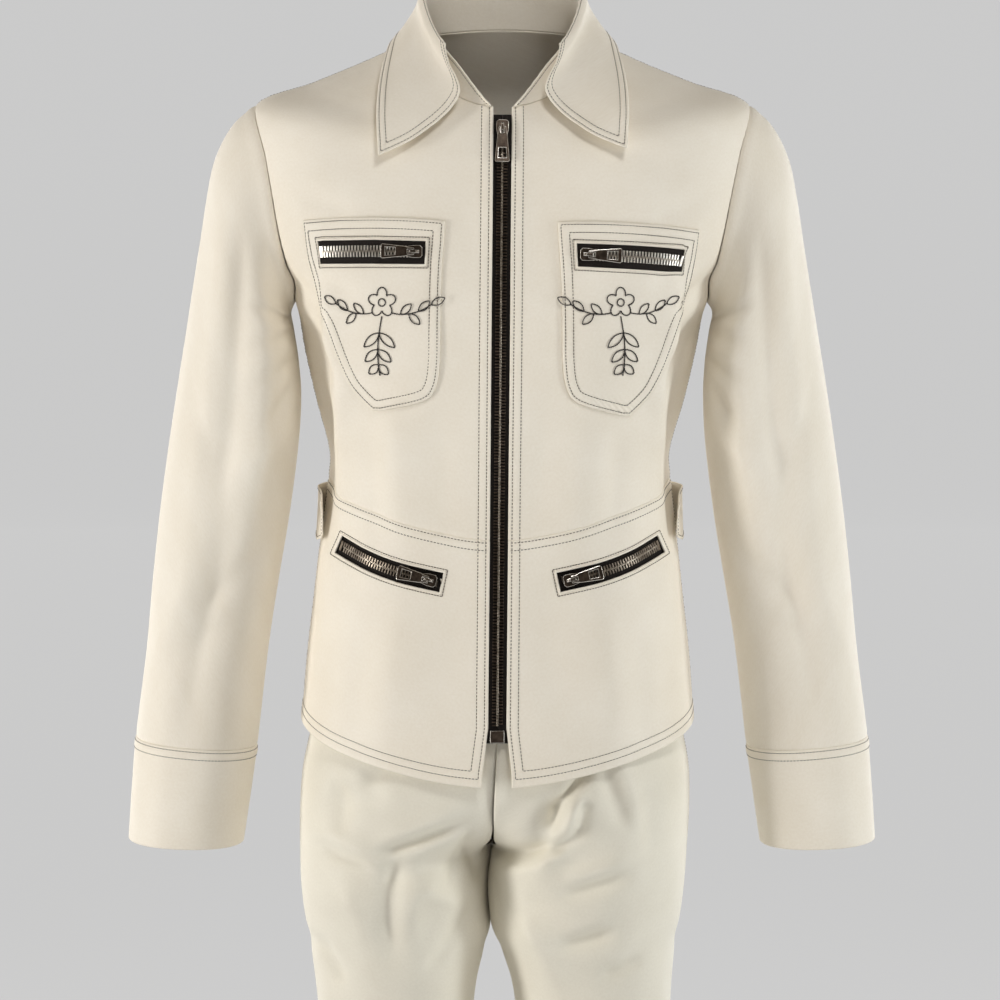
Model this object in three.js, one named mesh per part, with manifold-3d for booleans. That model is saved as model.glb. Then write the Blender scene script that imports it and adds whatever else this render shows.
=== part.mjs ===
// A western suit as it is worn: a zip-front jacket with a pointed collar over plain trousers.
// Millimetres, +Z up, the front faces -Y, and +X is the wearer's left. The origin is level with the
// neck ends of the shoulder seams, on the middle of the body, where the wearer's shoulders carry it.
// Each cloth piece is a thin wall, built from a grid of points on its outer face.
import * as THREE from "three";
import { mergeVertices } from "three/addons/utils/BufferGeometryUtils.js";
import Module from "manifold-3d";

const wasm = await Module();
wasm.setup();

// ---------------------------------------------------------------- driving dimensions
const JACKET_CLOTH = 1.8;
const TROUSER_CLOTH = 1.5;
const PATCH_CLOTH = 1.4; // pockets and tabs
const COLLAR_CLOTH = 2.0;
const SEAM_GAP = 0.3;
const ZIP_OPENING_HALF = 8.6; // half the slot that shows the front zip
const HEM_OPENING_HALF = 13.5; // the fronts part a little below the end of the zip
const ZIP_TOP_Z = -51;
const ZIP_BOTTOM_Z = -590;
const ZIP_STEPS = 20;
const CHAIN_HALF = 4.9;
const CHAIN_THICK = 2.2;
const TAPE_THICK = 0.8;
const TAPE_HALF = 15;
const ZIP_SINK = 2.5; // the tapes lie this far behind the face of the fronts
const LEAN_TOP = 2.2;
const LEAN_BOTTOM = -3.4;
const CENTRE_DROP = 1.25; // power that shapes how seams fall from the side to the centre front

const SIDE = Math.PI / 2;
const LEFT = 1;
const RIGHT = -1;
const SIDE_NAMES = { [LEFT]: "left", [RIGHT]: "right" };

// ---------------------------------------------------------------- section tables
// A table is read at any row between its own by a smooth curve through its values.
function table(columns, rows) {
  const last = rows.length - 1;
  return (name, row) => {
    const c = columns.indexOf(name);
    const at = Math.min(Math.max(row, 0), last);
    const i = Math.min(Math.floor(at), last - 1);
    const u = at - i;
    const value = (k) => rows[Math.min(Math.max(k, 0), last)][c];
    const slope = (k) => (value(k + 1) - value(k - 1)) / (k > 0 && k < last ? 2 : 1);
    const start = value(i) * (2 * u ** 3 - 3 * u ** 2 + 1) + slope(i) * (u ** 3 - 2 * u ** 2 + u);
    return start + value(i + 1) * (3 * u ** 2 - 2 * u ** 3) + slope(i + 1) * (u ** 3 - u ** 2);
  };
}

// Level rings round the body, from the jacket's hem to its neck.
const body = table(
  ["side_z", "front_z", "back_z", "half_width", "front_depth", "back_depth", "squareness"],
  [
    [-583, -628, -579, 175, 124, 122, 2.3],
    [-521, -557, -517, 170, 120, 117, 2.3],
    [-452, -487, -448, 162, 111, 105, 2.3],
    [-373, -417, -371, 152, 102, 94, 2.3],
    [-346, -371, -342, 151, 101, 93, 2.35],
    [-302, -319, -296, 163, 108, 101, 2.4],
    [-259, -269, -250, 173, 115, 109, 2.5],
    [-216, -225, -205, 181, 118, 114, 2.6],
    [-171, -189, -160, 197, 117, 114, 2.7],
    [-126, -155, -116, 212, 113, 110, 2.7],
    [-82, -124, -74, 221, 108, 103, 2.6],
    [-42, -98, -36, 216, 102, 92, 2.4],
    [-23, -79, -14, 166, 96, 80, 2.2],
    [-3, -62, 6, 117, 90, 68, 2.1],
    [17, -46, 24, 74, 83, 58, 2.0],
  ],
);
const HEM_ROW = 0;
const WAIST_ROW = 3;
const ARMPIT_ROW = 7;
const SHOULDER_ROW = 11;
const NECK_ROW = 14;
const ARMHOLE_CUT = { front: 0.3, back: 0.26 }; // how far the armhole bites into each panel, radians
const ARMHOLE_SQUARENESS = 2.2;

// The largest soft folds of the jacket body, as lines on its front or back view.
const BODY_FOLDS = [
  { face: "front", from: [-176, -232], to: [-118, -322], width: 17, depth: -3.0 },
  { face: "front", from: [176, -232], to: [122, -318], width: 17, depth: -3.4 },
  { face: "front", from: [-158, -300], to: [-146, -392], width: 15, depth: -2.6 },
  { face: "front", from: [158, -300], to: [147, -392], width: 15, depth: -2.6 },
  { face: "front", from: [-92, -318], to: [-86, -402], width: 20, depth: 2.2 },
  { face: "front", from: [98, -318], to: [88, -402], width: 20, depth: 2.2 },
  { face: "front", from: [-60, -470], to: [-120, -590], width: 26, depth: 2.0 },
  { face: "front", from: [70, -480], to: [128, -585], width: 26, depth: 2.2 },
  { face: "back", from: [-160, -215], to: [-96, -320], width: 20, depth: -3.4 },
  { face: "back", from: [160, -215], to: [98, -322], width: 20, depth: -3.2 },
  { face: "back", from: [0, -150], to: [0, -330], width: 30, depth: -3.0 },
  { face: "back", from: [-70, -400], to: [-86, -560], width: 24, depth: 2.6 },
  { face: "back", from: [70, -400], to: [88, -560], width: 24, depth: 2.6 },
];

// Rings of a sleeve, from the armhole to the cuff's hem, in the plane through the arm:
// the inner point lies by the body, the outer point on the sleeve's outline.
const arm = table(
  ["inner_x", "inner_z", "outer_x", "outer_z", "half_depth", "centre_y", "squareness"],
  [
    [186, -216, 217, -42, 57, 0, 2.3],
    [187, -219, 237, -60, 60, 0, 2.2],
    [187, -224, 252, -89, 64, 0, 2.15],
    [186, -231, 260, -124, 67, 0, 2.1],
    [184, -241, 266.5, -164, 69, 0, 2.1],
    [182, -254, 273, -204, 70, 1, 2.1],
    [180, -271, 279.5, -243, 70, 2, 2.1],
    [178.5, -299, 286.5, -284, 69, 3, 2.1],
    [181, -341, 294.5, -333, 67, 5, 2.1],
    [189, -402, 304, -399, 64, 6, 2.1],
    [199, -463, 311, -460, 61, 4, 2.1],
    [209, -528, 317, -524, 58, 0, 2.1],
    [219, -611, 327, -602, 55, -5, 2.15],
    [225, -654, 331, -648, 53.5, -8, 2.15],
    [231, -697, 334, -693, 52, -10, 2.15],
  ],
);
const CUFF_RING = 12;
const CUFF_HEM_RING = 14;
const ARMHOLE_FADE_RINGS = 3;
const SLEEVE_SHIFT = 1.6;

// The largest folds of the sleeves. Round the sleeve, 0 is outer, 0.25 front, 0.5 inner and 0.75 back.
const ARM_FOLDS = [
  { from: [0.1, 3.2], to: [0.2, 8.8], width: 0.055, depth: -3.4 },
  { from: [0.36, 4.6], to: [0.3, 9.0], width: 0.05, depth: 2.6 },
  { from: [0.4, 6.8], to: [0.18, 8.6], width: 0.05, depth: -2.6 },
  { from: [0.44, 8.6], to: [0.22, 9.8], width: 0.05, depth: -2.2 },
  { from: [0.3, 9.6], to: [0.22, 11.8], width: 0.06, depth: -2.4 },
  { from: [0.66, 4.2], to: [0.74, 8.4], width: 0.06, depth: -3.4 },
  { from: [0.6, 8.2], to: [0.86, 9.3], width: 0.05, depth: -2.8 },
  { from: [0.88, 3.4], to: [0.86, 11.6], width: 0.06, depth: 2.2 },
];

// Level rings of one trouser half. Below the fork a ring is a whole leg. Above it the ring is cut
// at the middle of the body, so the cut edge is the curve of the crotch seam.
const leg = table(
  ["z", "centre_x", "half_width", "front_depth", "back_depth", "squareness"],
  [
    [-456, 0, 149, 93, 90, 2.2],
    [-500, 0, 157, 102, 101, 2.2],
    [-545, 0, 163.5, 109, 111, 2.2],
    [-590, 12, 154, 113, 118, 2.2],
    [-630, 38, 135, 113, 120, 2.2],
    [-668, 66, 108.5, 110, 117, 2.15],
    [-702, 87.1, 86.5, 105, 110, 2.1],
    [-735, 86.2, 85.7, 100, 104, 2.1],
    [-765, 84.5, 83.7, 96, 99, 2.1],
    [-783, 84.3, 79.6, 94, 97, 2.1],
    [-801, 86, 76.8, 92, 95, 2.1],
    [-836, 88.7, 71, 88, 91, 2.1],
    [-900, 89.6, 66.5, 82, 85, 2.1],
    [-1000, 89, 62.5, 75, 78, 2.1],
    [-1100, 88.5, 60.5, 70, 73, 2.1],
    [-1230, 88, 59.5, 69, 72, 2.15],
    [-1370, 87.5, 60.5, 71, 74, 2.15],
    [-1500, 87, 62, 73, 77, 2.15],
  ],
);
const FORK_ROW = 6;
const TROUSER_HEM_ROW = 17;
const WAISTBAND_HEIGHT = 38;
const THIGH_SHIFT = -3.5; // both thighs, and more so the gap between them, sit to the wearer's right
const GAP_SHIFT = -5.5;

// The largest folds of the trousers, as lines on the front or back view.
const LEG_FOLDS = [
  { face: "front", from: [-14, -690], to: [-104, -716], width: 11, depth: -4.2 },
  { face: "front", from: [-20, -712], to: [-78, -790], width: 14, depth: -3.6 },
  { face: "front", from: [-30, -740], to: [-150, -728], width: 15, depth: 3.2 },
  { face: "front", from: [-96, -640], to: [-150, -652], width: 10, depth: -2.8 },
  { face: "front", from: [52, -636], to: [34, -704], width: 9, depth: -4.4 },
  { face: "front", from: [78, -640], to: [40, -716], width: 10, depth: 4.0 },
  { face: "front", from: [10, -700], to: [92, -690], width: 12, depth: -3.4 },
  { face: "front", from: [16, -740], to: [104, -762], width: 13, depth: -3.8 },
  { face: "front", from: [24, -770], to: [120, -728], width: 13, depth: 3.0 },
  { face: "front", from: [60, -800], to: [126, -822], width: 14, depth: -3.2 },
  { face: "front", from: [-150, -800], to: [-80, -850], width: 15, depth: -3.0 },
  { face: "front", from: [-52, -1060], to: [-134, -1085], width: 16, depth: -3.4 },
  { face: "front", from: [52, -1096], to: [134, -1068], width: 16, depth: -3.4 },
  { face: "back", from: [-20, -700], to: [-120, -740], width: 14, depth: -4.0 },
  { face: "back", from: [20, -704], to: [118, -748], width: 14, depth: -4.0 },
  { face: "back", from: [-28, -740], to: [-120, -800], width: 15, depth: -3.4 },
  { face: "back", from: [28, -744], to: [120, -806], width: 15, depth: -3.4 },
  { face: "back", from: [-48, -1070], to: [-130, -1092], width: 15, depth: -4.2 },
  { face: "back", from: [48, -1080], to: [130, -1058], width: 15, depth: -4.2 },
];

// A chest pocket: its two edges at each level, measured from the centre front.
const pocket = table(
  ["z", "inner_x", "outer_x"],
  [
    [-142.5, 49.5, 170],
    [-159.5, 50.5, 168],
    [-179.5, 52, 165],
    [-205, 53, 158],
    [-235, 53.5, 150.5],
    [-262, 54, 141],
    [-283, 57.5, 131],
    [-295, 68, 121],
    [-304.5, 104, 111],
  ],
);
const POCKET_ROWS = 8;
const POCKET_ARCH = 3; // the top edge bows up in the middle
const POCKET_SLOPE = { [LEFT]: 0.06, [RIGHT]: 0 }; // one pocket falls towards its outer edge
const POCKET_LEVEL = { [LEFT]: -1, [RIGHT]: 0 };
const POCKET_MIDDLE = { [LEFT]: 0, [RIGHT]: LEAN_TOP };
const POCKET_COLUMNS = [0, 0.12, 0.28, 0.44, 0.6, 0.76, 0.91, 1];
const WINDOW_COLUMNS = [1, 6];
const WINDOW_ROW = 1;
const WINDOW_HEIGHT = 20;
const POCKET_GAP = 1.4; // the curve of the front between two columns fits in this gap
const SMALL_CHAIN_HALF = 4.7; // half the height of a pocket's chain
const POCKET_TAPE_OUT = 0.5; // outer faces of a chest zip's tape, chain and slider seat, over the gap
const POCKET_TAPE_THICK = 0.6;
const POCKET_CHAIN_OUT = 1.8;
const POCKET_CHAIN_THICK = 1.2;
const POCKET_SLIDER_OUT = 2;
const HIP_ZIP = [
  [50, -453],
  [92, -444],
  [118, -435.5],
  [142, -425],
]; // the middle line of a hip zip, from its inner end
const HIP_WINDOW_HALF = 9;
const HIP_TAPE_HALF = 13;
const HIP_TAPE_OUT = -2.9; // outer faces of a hip zip's tape, chain and slider seat, from the cloth's face
const HIP_CHAIN_OUT = -0.9;
const HIP_CHAIN_THICK = 1.5;
const HIP_SLIDER_OUT = -0.4;
const HIP_CUT = [5, 11]; // the cutter for a hip window: how far out it starts, and its depth
const TAB_ROWS = [2.88, 2.62, 2.36];
const TAB_ANGLES = [1.34, 2.6]; // the free end by the side seam, and the sewn end on the back
const TAB_FLAT_ANGLE = 2.25; // the tab lies flat from here to its sewn end
const TAB_PROUD = { [LEFT]: [9, 4], [RIGHT]: [7, 2] }; // how far it stands off at the side, top and bottom
const BUTTON_ANGLE = 2.38;
const BUTTON_RADIUS = 7.5;
const BUTTON_THICK = 2.4;
const BUTTON_LIFT = 0.7; // the tab curves, so the flat button clears it by this much
const TAB_SPRING = 0.8;

// ---------------------------------------------------------------- folds
// How much a fold moves a point: a soft hump across its line, fading out at both ends.
function foldDepth(fold, p, q) {
  const [dx, dz] = [fold.to[0] - fold.from[0], fold.to[1] - fold.from[1]];
  const along = ((p - fold.from[0]) * dx + (q - fold.from[1]) * dz) / (dx * dx + dz * dz);
  const across = ((p - fold.from[0]) * dz - (q - fold.from[1]) * dx) / Math.hypot(dx, dz);
  const ends = Math.exp(-Math.pow(Math.abs(2 * along - 1), 4));
  return fold.depth * ends * Math.exp(-((across / fold.width) ** 2));
}

function faceFolds(folds, x, y, z) {
  const facing = y < 0 ? "front" : "back";
  const fade = Math.min(1, Math.abs(y) / 30);
  let sum = 0;
  for (const fold of folds) if (fold.face === facing) sum += foldDepth(fold, x, z);
  return sum * fade;
}

// ---------------------------------------------------------------- surfaces
// The wearer's weight is on one leg, so the middle of the suit leans a little on the way down.
function lean(z) {
  const down = Math.max(0, Math.min(1, (-60 - z) / 640));
  return LEAN_TOP + (LEAN_BOTTOM - LEAN_TOP) * down;
}

// A point of the jacket body. The angle is 0 at the centre front and grows towards the wearer's left.
function torso(angle, row) {
  const [side, ahead] = [Math.sin(angle), Math.cos(angle)];
  const depth = body(ahead > 0 ? "front_depth" : "back_depth", row);
  const n = body("squareness", row);
  const reach = (Math.abs(side / body("half_width", row)) ** n + Math.abs(ahead / depth) ** n) ** (-1 / n);
  const sideZ = body("side_z", row);
  const middleZ = body(ahead > 0 ? "front_z" : "back_z", row);
  const z = sideZ + (middleZ - sideZ) * Math.abs(ahead) ** CENTRE_DROP;
  const out = reach + faceFolds(BODY_FOLDS, reach * side, -reach * ahead, z);
  return new THREE.Vector3(out * side + lean(z), -out * ahead, z);
}

// The outward normal of a surface given as a function of two parameters.
function normalOf(surface, u, v, du = 0.01, dv = 0.02) {
  const across = surface(u + du, v).sub(surface(u - du, v));
  const up = surface(u, v + dv).sub(surface(u, v - dv));
  return across.cross(up).normalize();
}

function torsoOut(angle, row, out) {
  return torso(angle, row).addScaledVector(normalOf(torso, angle, row), out);
}

// The angle and row of the point of the jacket's front that shows at x, z in the front view.
function onFront(x, z) {
  let angle = Math.atan2(x, 110);
  let row = 6;
  for (let step = 0; step < 24; step++) {
    let [low, high] = [HEM_ROW, NECK_ROW];
    for (let half = 0; half < 26; half++) {
      row = (low + high) / 2;
      if (torso(angle, row).z < z) low = row;
      else high = row;
    }
    const p = torso(angle, row);
    const reach = Math.hypot(p.x - lean(z), p.y);
    angle += 0.8 * (Math.asin(Math.max(-0.999, Math.min(0.999, (x - lean(z)) / reach))) - angle);
  }
  return [angle, row];
}

function frontPoint(x, z, out) {
  return torsoOut(...onFront(x, z), out);
}

// The angle of a panel's column: at share 1 it is the side seam, the armhole or the shoulder seam.
// Columns further in follow the armhole less and less, so that no cell is squeezed.
function columnAngle(face, row, share, start) {
  const along = (row - ARMPIT_ROW) / (SHOULDER_ROW - ARMPIT_ROW);
  const inside = Math.max(0, 1 - Math.abs(2 * along - 1) ** ARMHOLE_SQUARENESS);
  const bite = inside ** (1 / ARMHOLE_SQUARENESS);
  const cut = ARMHOLE_CUT[face] * share * bite ** (1 + 3 * (1 - share));
  return start + (SIDE - start) * share - cut;
}

function panelEnd(face, row) {
  const angle = columnAngle(face, row, 1, 0);
  return face === "front" ? angle : Math.PI - angle;
}

function sleeveRing(turn, ring, side) {
  const round = 2 * Math.PI * turn;
  const n = arm("squareness", ring);
  const [c, s] = [Math.cos(round), Math.sin(round)];
  const size = (Math.abs(c) ** n + Math.abs(s) ** n) ** (-1 / n);
  const inner = new THREE.Vector3(arm("inner_x", ring), arm("centre_y", ring), arm("inner_z", ring));
  const outer = new THREE.Vector3(arm("outer_x", ring), arm("centre_y", ring), arm("outer_z", ring));
  const middle = inner.clone().lerp(outer, 0.5);
  const spoke = outer.sub(middle).multiplyScalar(c * size);
  spoke.y -= arm("half_depth", ring) * s * size;
  let fold = 0;
  for (const f of ARM_FOLDS) {
    // Along the sleeve one ring counts as a tenth of a turn, so that a fold's width suits both ways.
    const scaled = { ...f, from: [f.from[0], f.from[1] / 10], to: [f.to[0], f.to[1] / 10] };
    fold += foldDepth(scaled, turn, ring / 10);
  }
  spoke.addScaledVector(spoke.clone().normalize(), fold);
  const p = middle.add(spoke);
  p.x = p.x * side + SLEEVE_SHIFT;
  return p;
}

// A point of one trouser half. The angle is 0 at the outer seam, grows towards the front, and is
// negative on the back.
function trouser(angle, row, side) {
  const [c, s] = [Math.cos(angle), Math.sin(angle)];
  const n = leg("squareness", row);
  const depth = leg(s > 0 ? "front_depth" : "back_depth", row);
  const reach = (Math.abs(c / leg("half_width", row)) ** n + Math.abs(s / depth) ** n) ** (-1 / n);
  const z = leg("z", row);
  const centre = leg("centre_x", row);
  const out = reach + faceFolds(LEG_FOLDS, side * (centre + reach * c), -reach * s, z);
  const thigh = THIGH_SHIFT * Math.exp(-(((z + 750) / 110) ** 2));
  const gap = (GAP_SHIFT * Math.exp(-(((z + 737) / 42) ** 2)) * (1 - c)) / 2;
  const shift = lean(z) + thigh + gap;
  return new THREE.Vector3(side * (centre + out * c) + shift, -out * s, z);
}

// The angle where a trouser ring meets the middle of the body, or half a turn below the fork.
function innerEdge(face, row) {
  const width = leg("half_width", row);
  const n = leg("squareness", row);
  const across = -Math.min(leg("centre_x", row) - SEAM_GAP / 1.5, width);
  const depth = leg(face === "front" ? "front_depth" : "back_depth", row);
  const ahead = depth * Math.max(0, 1 - (Math.abs(across) / width) ** n) ** (1 / n);
  return Math.atan2(ahead, across);
}

// The angle of a trouser panel's column. Only the columns by the crotch seam follow its curve closely.
function legAngle(face, row, share) {
  const gap = row < FORK_ROW ? Math.PI - Math.abs(innerEdge(face, row)) : 0.002;
  return share * (Math.PI - SIDE * (gap / SIDE) ** (1 + 3 * (1 - share)));
}

// ---------------------------------------------------------------- walls
const shares = (count) => Array.from({ length: count + 1 }, (_, i) => i / count);
const evenly = (from, to, count) => shares(count).map((t) => from + (to - from) * t);
const bunched = (from, to, count) =>
  shares(count).map((t) => from + ((to - from) * (1 - Math.cos(Math.PI * t))) / 2);

// Normals of a grid of points, by the differences between neighbours.
function gridNormals(grid, closed) {
  const [rows, columns] = [grid.length, grid[0].length];
  return grid.map((line, i) =>
    line.map((_, j) => {
      const down = grid[Math.min(i + 1, rows - 1)][j].clone().sub(grid[Math.max(i - 1, 0)][j]);
      const before = closed ? (j + columns - 1) % columns : Math.max(j - 1, 0);
      const after = closed ? (j + 1) % columns : Math.min(j + 1, columns - 1);
      return grid[i][after].clone().sub(grid[i][before]).cross(down).normalize();
    }),
  );
}

// A closed solid between a grid of points and the same grid moved inwards by the thickness.
function wall(grid, thickness, normals, { closed = false, skip = () => false } = {}) {
  const [rows, columns] = [grid.length, grid[0].length];
  const vertices = [];
  for (const layer of [0, 1])
    for (let i = 0; i < rows; i++)
      for (let j = 0; j < columns; j++) {
        const p = grid[i][j].clone().addScaledVector(normals[i][j], -thickness * layer);
        vertices.push(p.x, p.y, p.z);
      }
  const id = (layer, i, j) => layer * rows * columns + i * columns + (j % columns);
  const cells = closed ? columns : columns - 1;
  const has = (i, j) => {
    if (i < 0 || i >= rows - 1) return false;
    if (closed) return !skip(i, (j + cells) % cells);
    return j >= 0 && j < cells && !skip(i, j);
  };
  const faces = [];
  const quad = (a, b, c, d) => faces.push(a, b, c, a, c, d);
  for (let i = 0; i < rows - 1; i++)
    for (let j = 0; j < cells; j++) {
      if (!has(i, j)) continue;
      quad(id(0, i, j), id(0, i + 1, j), id(0, i + 1, j + 1), id(0, i, j + 1));
      quad(id(1, i, j), id(1, i, j + 1), id(1, i + 1, j + 1), id(1, i + 1, j));
      if (!has(i - 1, j)) quad(id(0, i, j), id(0, i, j + 1), id(1, i, j + 1), id(1, i, j));
      if (!has(i + 1, j)) quad(id(0, i + 1, j + 1), id(0, i + 1, j), id(1, i + 1, j), id(1, i + 1, j + 1));
      if (!has(i, j - 1)) quad(id(0, i + 1, j), id(0, i, j), id(1, i, j), id(1, i + 1, j));
      if (!has(i, j + 1)) quad(id(0, i, j + 1), id(0, i + 1, j + 1), id(1, i + 1, j + 1), id(1, i, j + 1));
    }
  return facingOut(vertices, faces);
}

// A geometry whose faces point out, whichever way its faces were first wound.
function facingOut(vertices, faces) {
  const at = (k) => new THREE.Vector3(...vertices.slice(3 * faces[k], 3 * faces[k] + 3));
  let volume = 0;
  for (let k = 0; k < faces.length; k += 3) volume += at(k).dot(at(k + 1).cross(at(k + 2)));
  if (volume < 0) faces.reverse();
  const geometry = new THREE.BufferGeometry();
  geometry.setAttribute("position", new THREE.Float32BufferAttribute(vertices, 3));
  return geometry.setIndex(faces);
}

// ---------------------------------------------------------------- booleans
function solidOf(geometry) {
  const bare = new THREE.BufferGeometry().setAttribute("position", geometry.getAttribute("position"));
  bare.setIndex(geometry.index);
  const merged = mergeVertices(bare, 1e-4);
  const mesh = new wasm.Mesh({
    numProp: 3,
    vertProperties: new Float32Array(merged.attributes.position.array),
    triVerts: new Uint32Array(merged.index.array),
  });
  return new wasm.Manifold(mesh);
}

const joined = (first, other) => plainGeometry(solidOf(first).add(solidOf(other)));
const cutBy = (first, tool) => plainGeometry(solidOf(first).subtract(solidOf(tool)));

function plainGeometry(solid) {
  const mesh = solid.getMesh();
  const geometry = new THREE.BufferGeometry();
  geometry.setAttribute("position", new THREE.BufferAttribute(new Float32Array(mesh.vertProperties), 3));
  return geometry.setIndex(new THREE.BufferAttribute(new Uint32Array(mesh.triVerts), 1));
}

// ---------------------------------------------------------------- the suit
const suit = new THREE.Group();

function finish(color, roughness, metalness = 0) {
  return new THREE.MeshStandardMaterial({ color, roughness, metalness });
}

const JACKET_FINISH = finish(0xe9e0cc, 0.62);
const TROUSER_FINISH = finish(0xe0d9c5, 0.68);
const TAPE_FINISH = finish(0x17120f, 0.85);
const METAL_FINISH = finish(0x3a332c, 0.35, 0.9);
const BUTTON_FINISH = finish(0xd8cdb4, 0.4);

function piece(name, geometry, material) {
  const mesh = new THREE.Mesh(geometry, material);
  mesh.name = name;
  suit.add(mesh);
  return mesh;
}

// ---------------------------------------------------------------- jacket body
const UPPER_ROWS = [
  ...evenly(WAIST_ROW, ARMPIT_ROW, 7).slice(0, -1),
  ...bunched(ARMPIT_ROW, SHOULDER_ROW, 10),
  ...evenly(SHOULDER_ROW, NECK_ROW, 4).slice(1),
];
const ARMHOLE_STEPS = 10;
const LOWER_ROWS = evenly(HEM_ROW, WAIST_ROW, 6);
const ROW_GAP = SEAM_GAP / 2 / 60; // half a seam gap, as a share of the 60 mm between rows

// The centre front edge: straight beside the zip, then parting towards the hem.
function frontEdgeAngle(row) {
  const z = body("front_z", row);
  const parting = Math.max(0, Math.min(1, (ZIP_BOTTOM_Z + 12 - z) / 40));
  const half = ZIP_OPENING_HALF + (HEM_OPENING_HALF - ZIP_OPENING_HALF) * parting;
  return Math.atan2(half, body("front_depth", row));
}

function spreadRows(rows) {
  const list = [...rows];
  list[0] += list[0] === WAIST_ROW ? ROW_GAP : 0;
  list[list.length - 1] -= list[list.length - 1] === WAIST_ROW ? ROW_GAP : 0;
  return list;
}

function seamAngle(row) {
  return SEAM_GAP / 2 / body("half_width", row);
}

// Panels are lists of rows, and each row is a list of [angle, row] places on the body.
function frontPlaces(rows, side, columns) {
  return rows.map((row) => {
    const start = frontEdgeAngle(row);
    return evenly(0, 1, columns).map((share) => {
      const angle = columnAngle("front", row, share, start) - (share === 1 ? seamAngle(row) : 0);
      return [side * angle, row];
    });
  });
}

function backPlaces(rows, columns) {
  return rows.map((row) => {
    return evenly(-1, 1, columns).map((share) => {
      const away = Math.abs(share);
      const angle = columnAngle("back", row, away, 0) - (away === 1 ? seamAngle(row) : 0);
      return [Math.PI + Math.sign(share) * angle, row];
    });
  });
}

const each = (grid, change) => grid.map((line, i) => line.map((value, j) => change(value, i, j)));
const bodyCentre = (grid) => (i, j) => new THREE.Vector3(lean(grid[i][j].z), 0, grid[i][j].z);
const pointsOf = (places, out = 0) => each(places, ([angle, row]) => torsoOut(angle, row, out));
const normalsOf = (places) => each(places, ([angle, row]) => normalOf(torso, angle, row));

// The armhole seam as a loop: from the shoulder tip down the front to the armpit and up the back.
function armholeLoop(side) {
  const rows = bunched(SHOULDER_ROW, ARMPIT_ROW, ARMHOLE_STEPS);
  const front = rows.map((row) => [panelEnd("front", row), row]);
  const back = rows.map((row) => [panelEnd("back", row), row]).reverse();
  return [...front, ...back.slice(1, -1)].map(([angle, row]) => [side * angle, row]);
}

const SLEEVE_RINGS = [0, 0.5, 1.2, 2, 3, 4, 5, 6, 7, 8, 9, 10, 11, CUFF_RING];
const CUFF_RINGS = [CUFF_RING, 13, CUFF_HEM_RING];

// The rings of a sleeve. The first follows the armhole seam, and the next ones ease into ovals.
function sleeveGrid(side) {
  const loop = armholeLoop(side);
  const turns = loop.map((_, k) => k / loop.length);
  const seam = loop.map(([angle, row]) => torso(angle, row));
  const grid = SLEEVE_RINGS.map((ring) => {
    const fade = Math.max(0, 1 - ring / ARMHOLE_FADE_RINGS) ** 2;
    return turns.map((turn, k) => {
      const slip = seam[k].clone().sub(sleeveRing(turn, 0, side));
      return sleeveRing(turn, ring, side).addScaledVector(slip, fade);
    });
  });
  grid[0].forEach((p, k) => p.addScaledVector(grid[1][k].clone().sub(p).normalize(), 1.6 * SEAM_GAP));
  return grid;
}

// At the armhole the body and the sleeve share one direction through the cloth, so their edges
// stay parallel.
function armholeNormals(side, sleeve) {
  const own = gridNormals(sleeve, true)[0];
  const centre = sleeveRing(0.25, 1, side).add(sleeveRing(0.75, 1, side)).multiplyScalar(0.5);
  return armholeLoop(side).map(([angle, row], k) => {
    const torsoNormal = normalOf(torso, angle, row);
    const outward = sleeve[0][k].clone().sub(centre);
    const sleeveNormal = own[k].clone().multiplyScalar(own[k].dot(outward) < 0 ? -1 : 1);
    return torsoNormal.add(sleeveNormal).normalize();
  });
}

function outwardNormals(grid, closed, centreOf) {
  return each(gridNormals(grid, closed), (normal, i, j) => {
    const outward = grid[i][j].clone().sub(centreOf(i, j));
    return normal.multiplyScalar(normal.dot(outward) < 0 ? -1 : 1);
  });
}

function middleOf(ring) {
  const sum = ring.reduce((total, p) => total.add(p), new THREE.Vector3());
  return sum.multiplyScalar(1 / ring.length);
}

const sleeves = {};
const armholes = {};
for (const side of [RIGHT, LEFT]) {
  sleeves[side] = sleeveGrid(side);
  armholes[side] = armholeNormals(side, sleeves[side]);
}
const FIRST_ARMHOLE_ROW = UPPER_ROWS.indexOf(ARMPIT_ROW);

for (const side of [RIGHT, LEFT]) {
  const upper = frontPlaces(spreadRows(UPPER_ROWS), side, 12);
  const normals = normalsOf(upper);
  for (let k = 0; k <= ARMHOLE_STEPS; k++)
    normals[FIRST_ARMHOLE_ROW + k][normals[0].length - 1] = armholes[side][ARMHOLE_STEPS - k];
  piece(`front_upper_${SIDE_NAMES[side]}`, wall(pointsOf(upper), JACKET_CLOTH, normals), JACKET_FINISH);
  const lower = frontPlaces(spreadRows(LOWER_ROWS), side, 14);
  const lowerWall = wall(pointsOf(lower), JACKET_CLOTH, normalsOf(lower));
  piece(`front_lower_${SIDE_NAMES[side]}`, lowerWall, JACKET_FINISH);
}
{
  const upper = backPlaces(spreadRows(UPPER_ROWS), 18);
  const normals = normalsOf(upper);
  const count = armholes[LEFT].length;
  for (let k = 0; k <= ARMHOLE_STEPS; k++) {
    const at = (count / 2 + k) % count;
    normals[FIRST_ARMHOLE_ROW + k][0] = armholes[LEFT][at];
    normals[FIRST_ARMHOLE_ROW + k][normals[0].length - 1] = armholes[RIGHT][at];
  }
  piece("back_upper", wall(pointsOf(upper), JACKET_CLOTH, normals), JACKET_FINISH);
  const lower = backPlaces(spreadRows(LOWER_ROWS), 18);
  piece("back_lower", wall(pointsOf(lower), JACKET_CLOTH, normalsOf(lower)), JACKET_FINISH);
}

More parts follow.
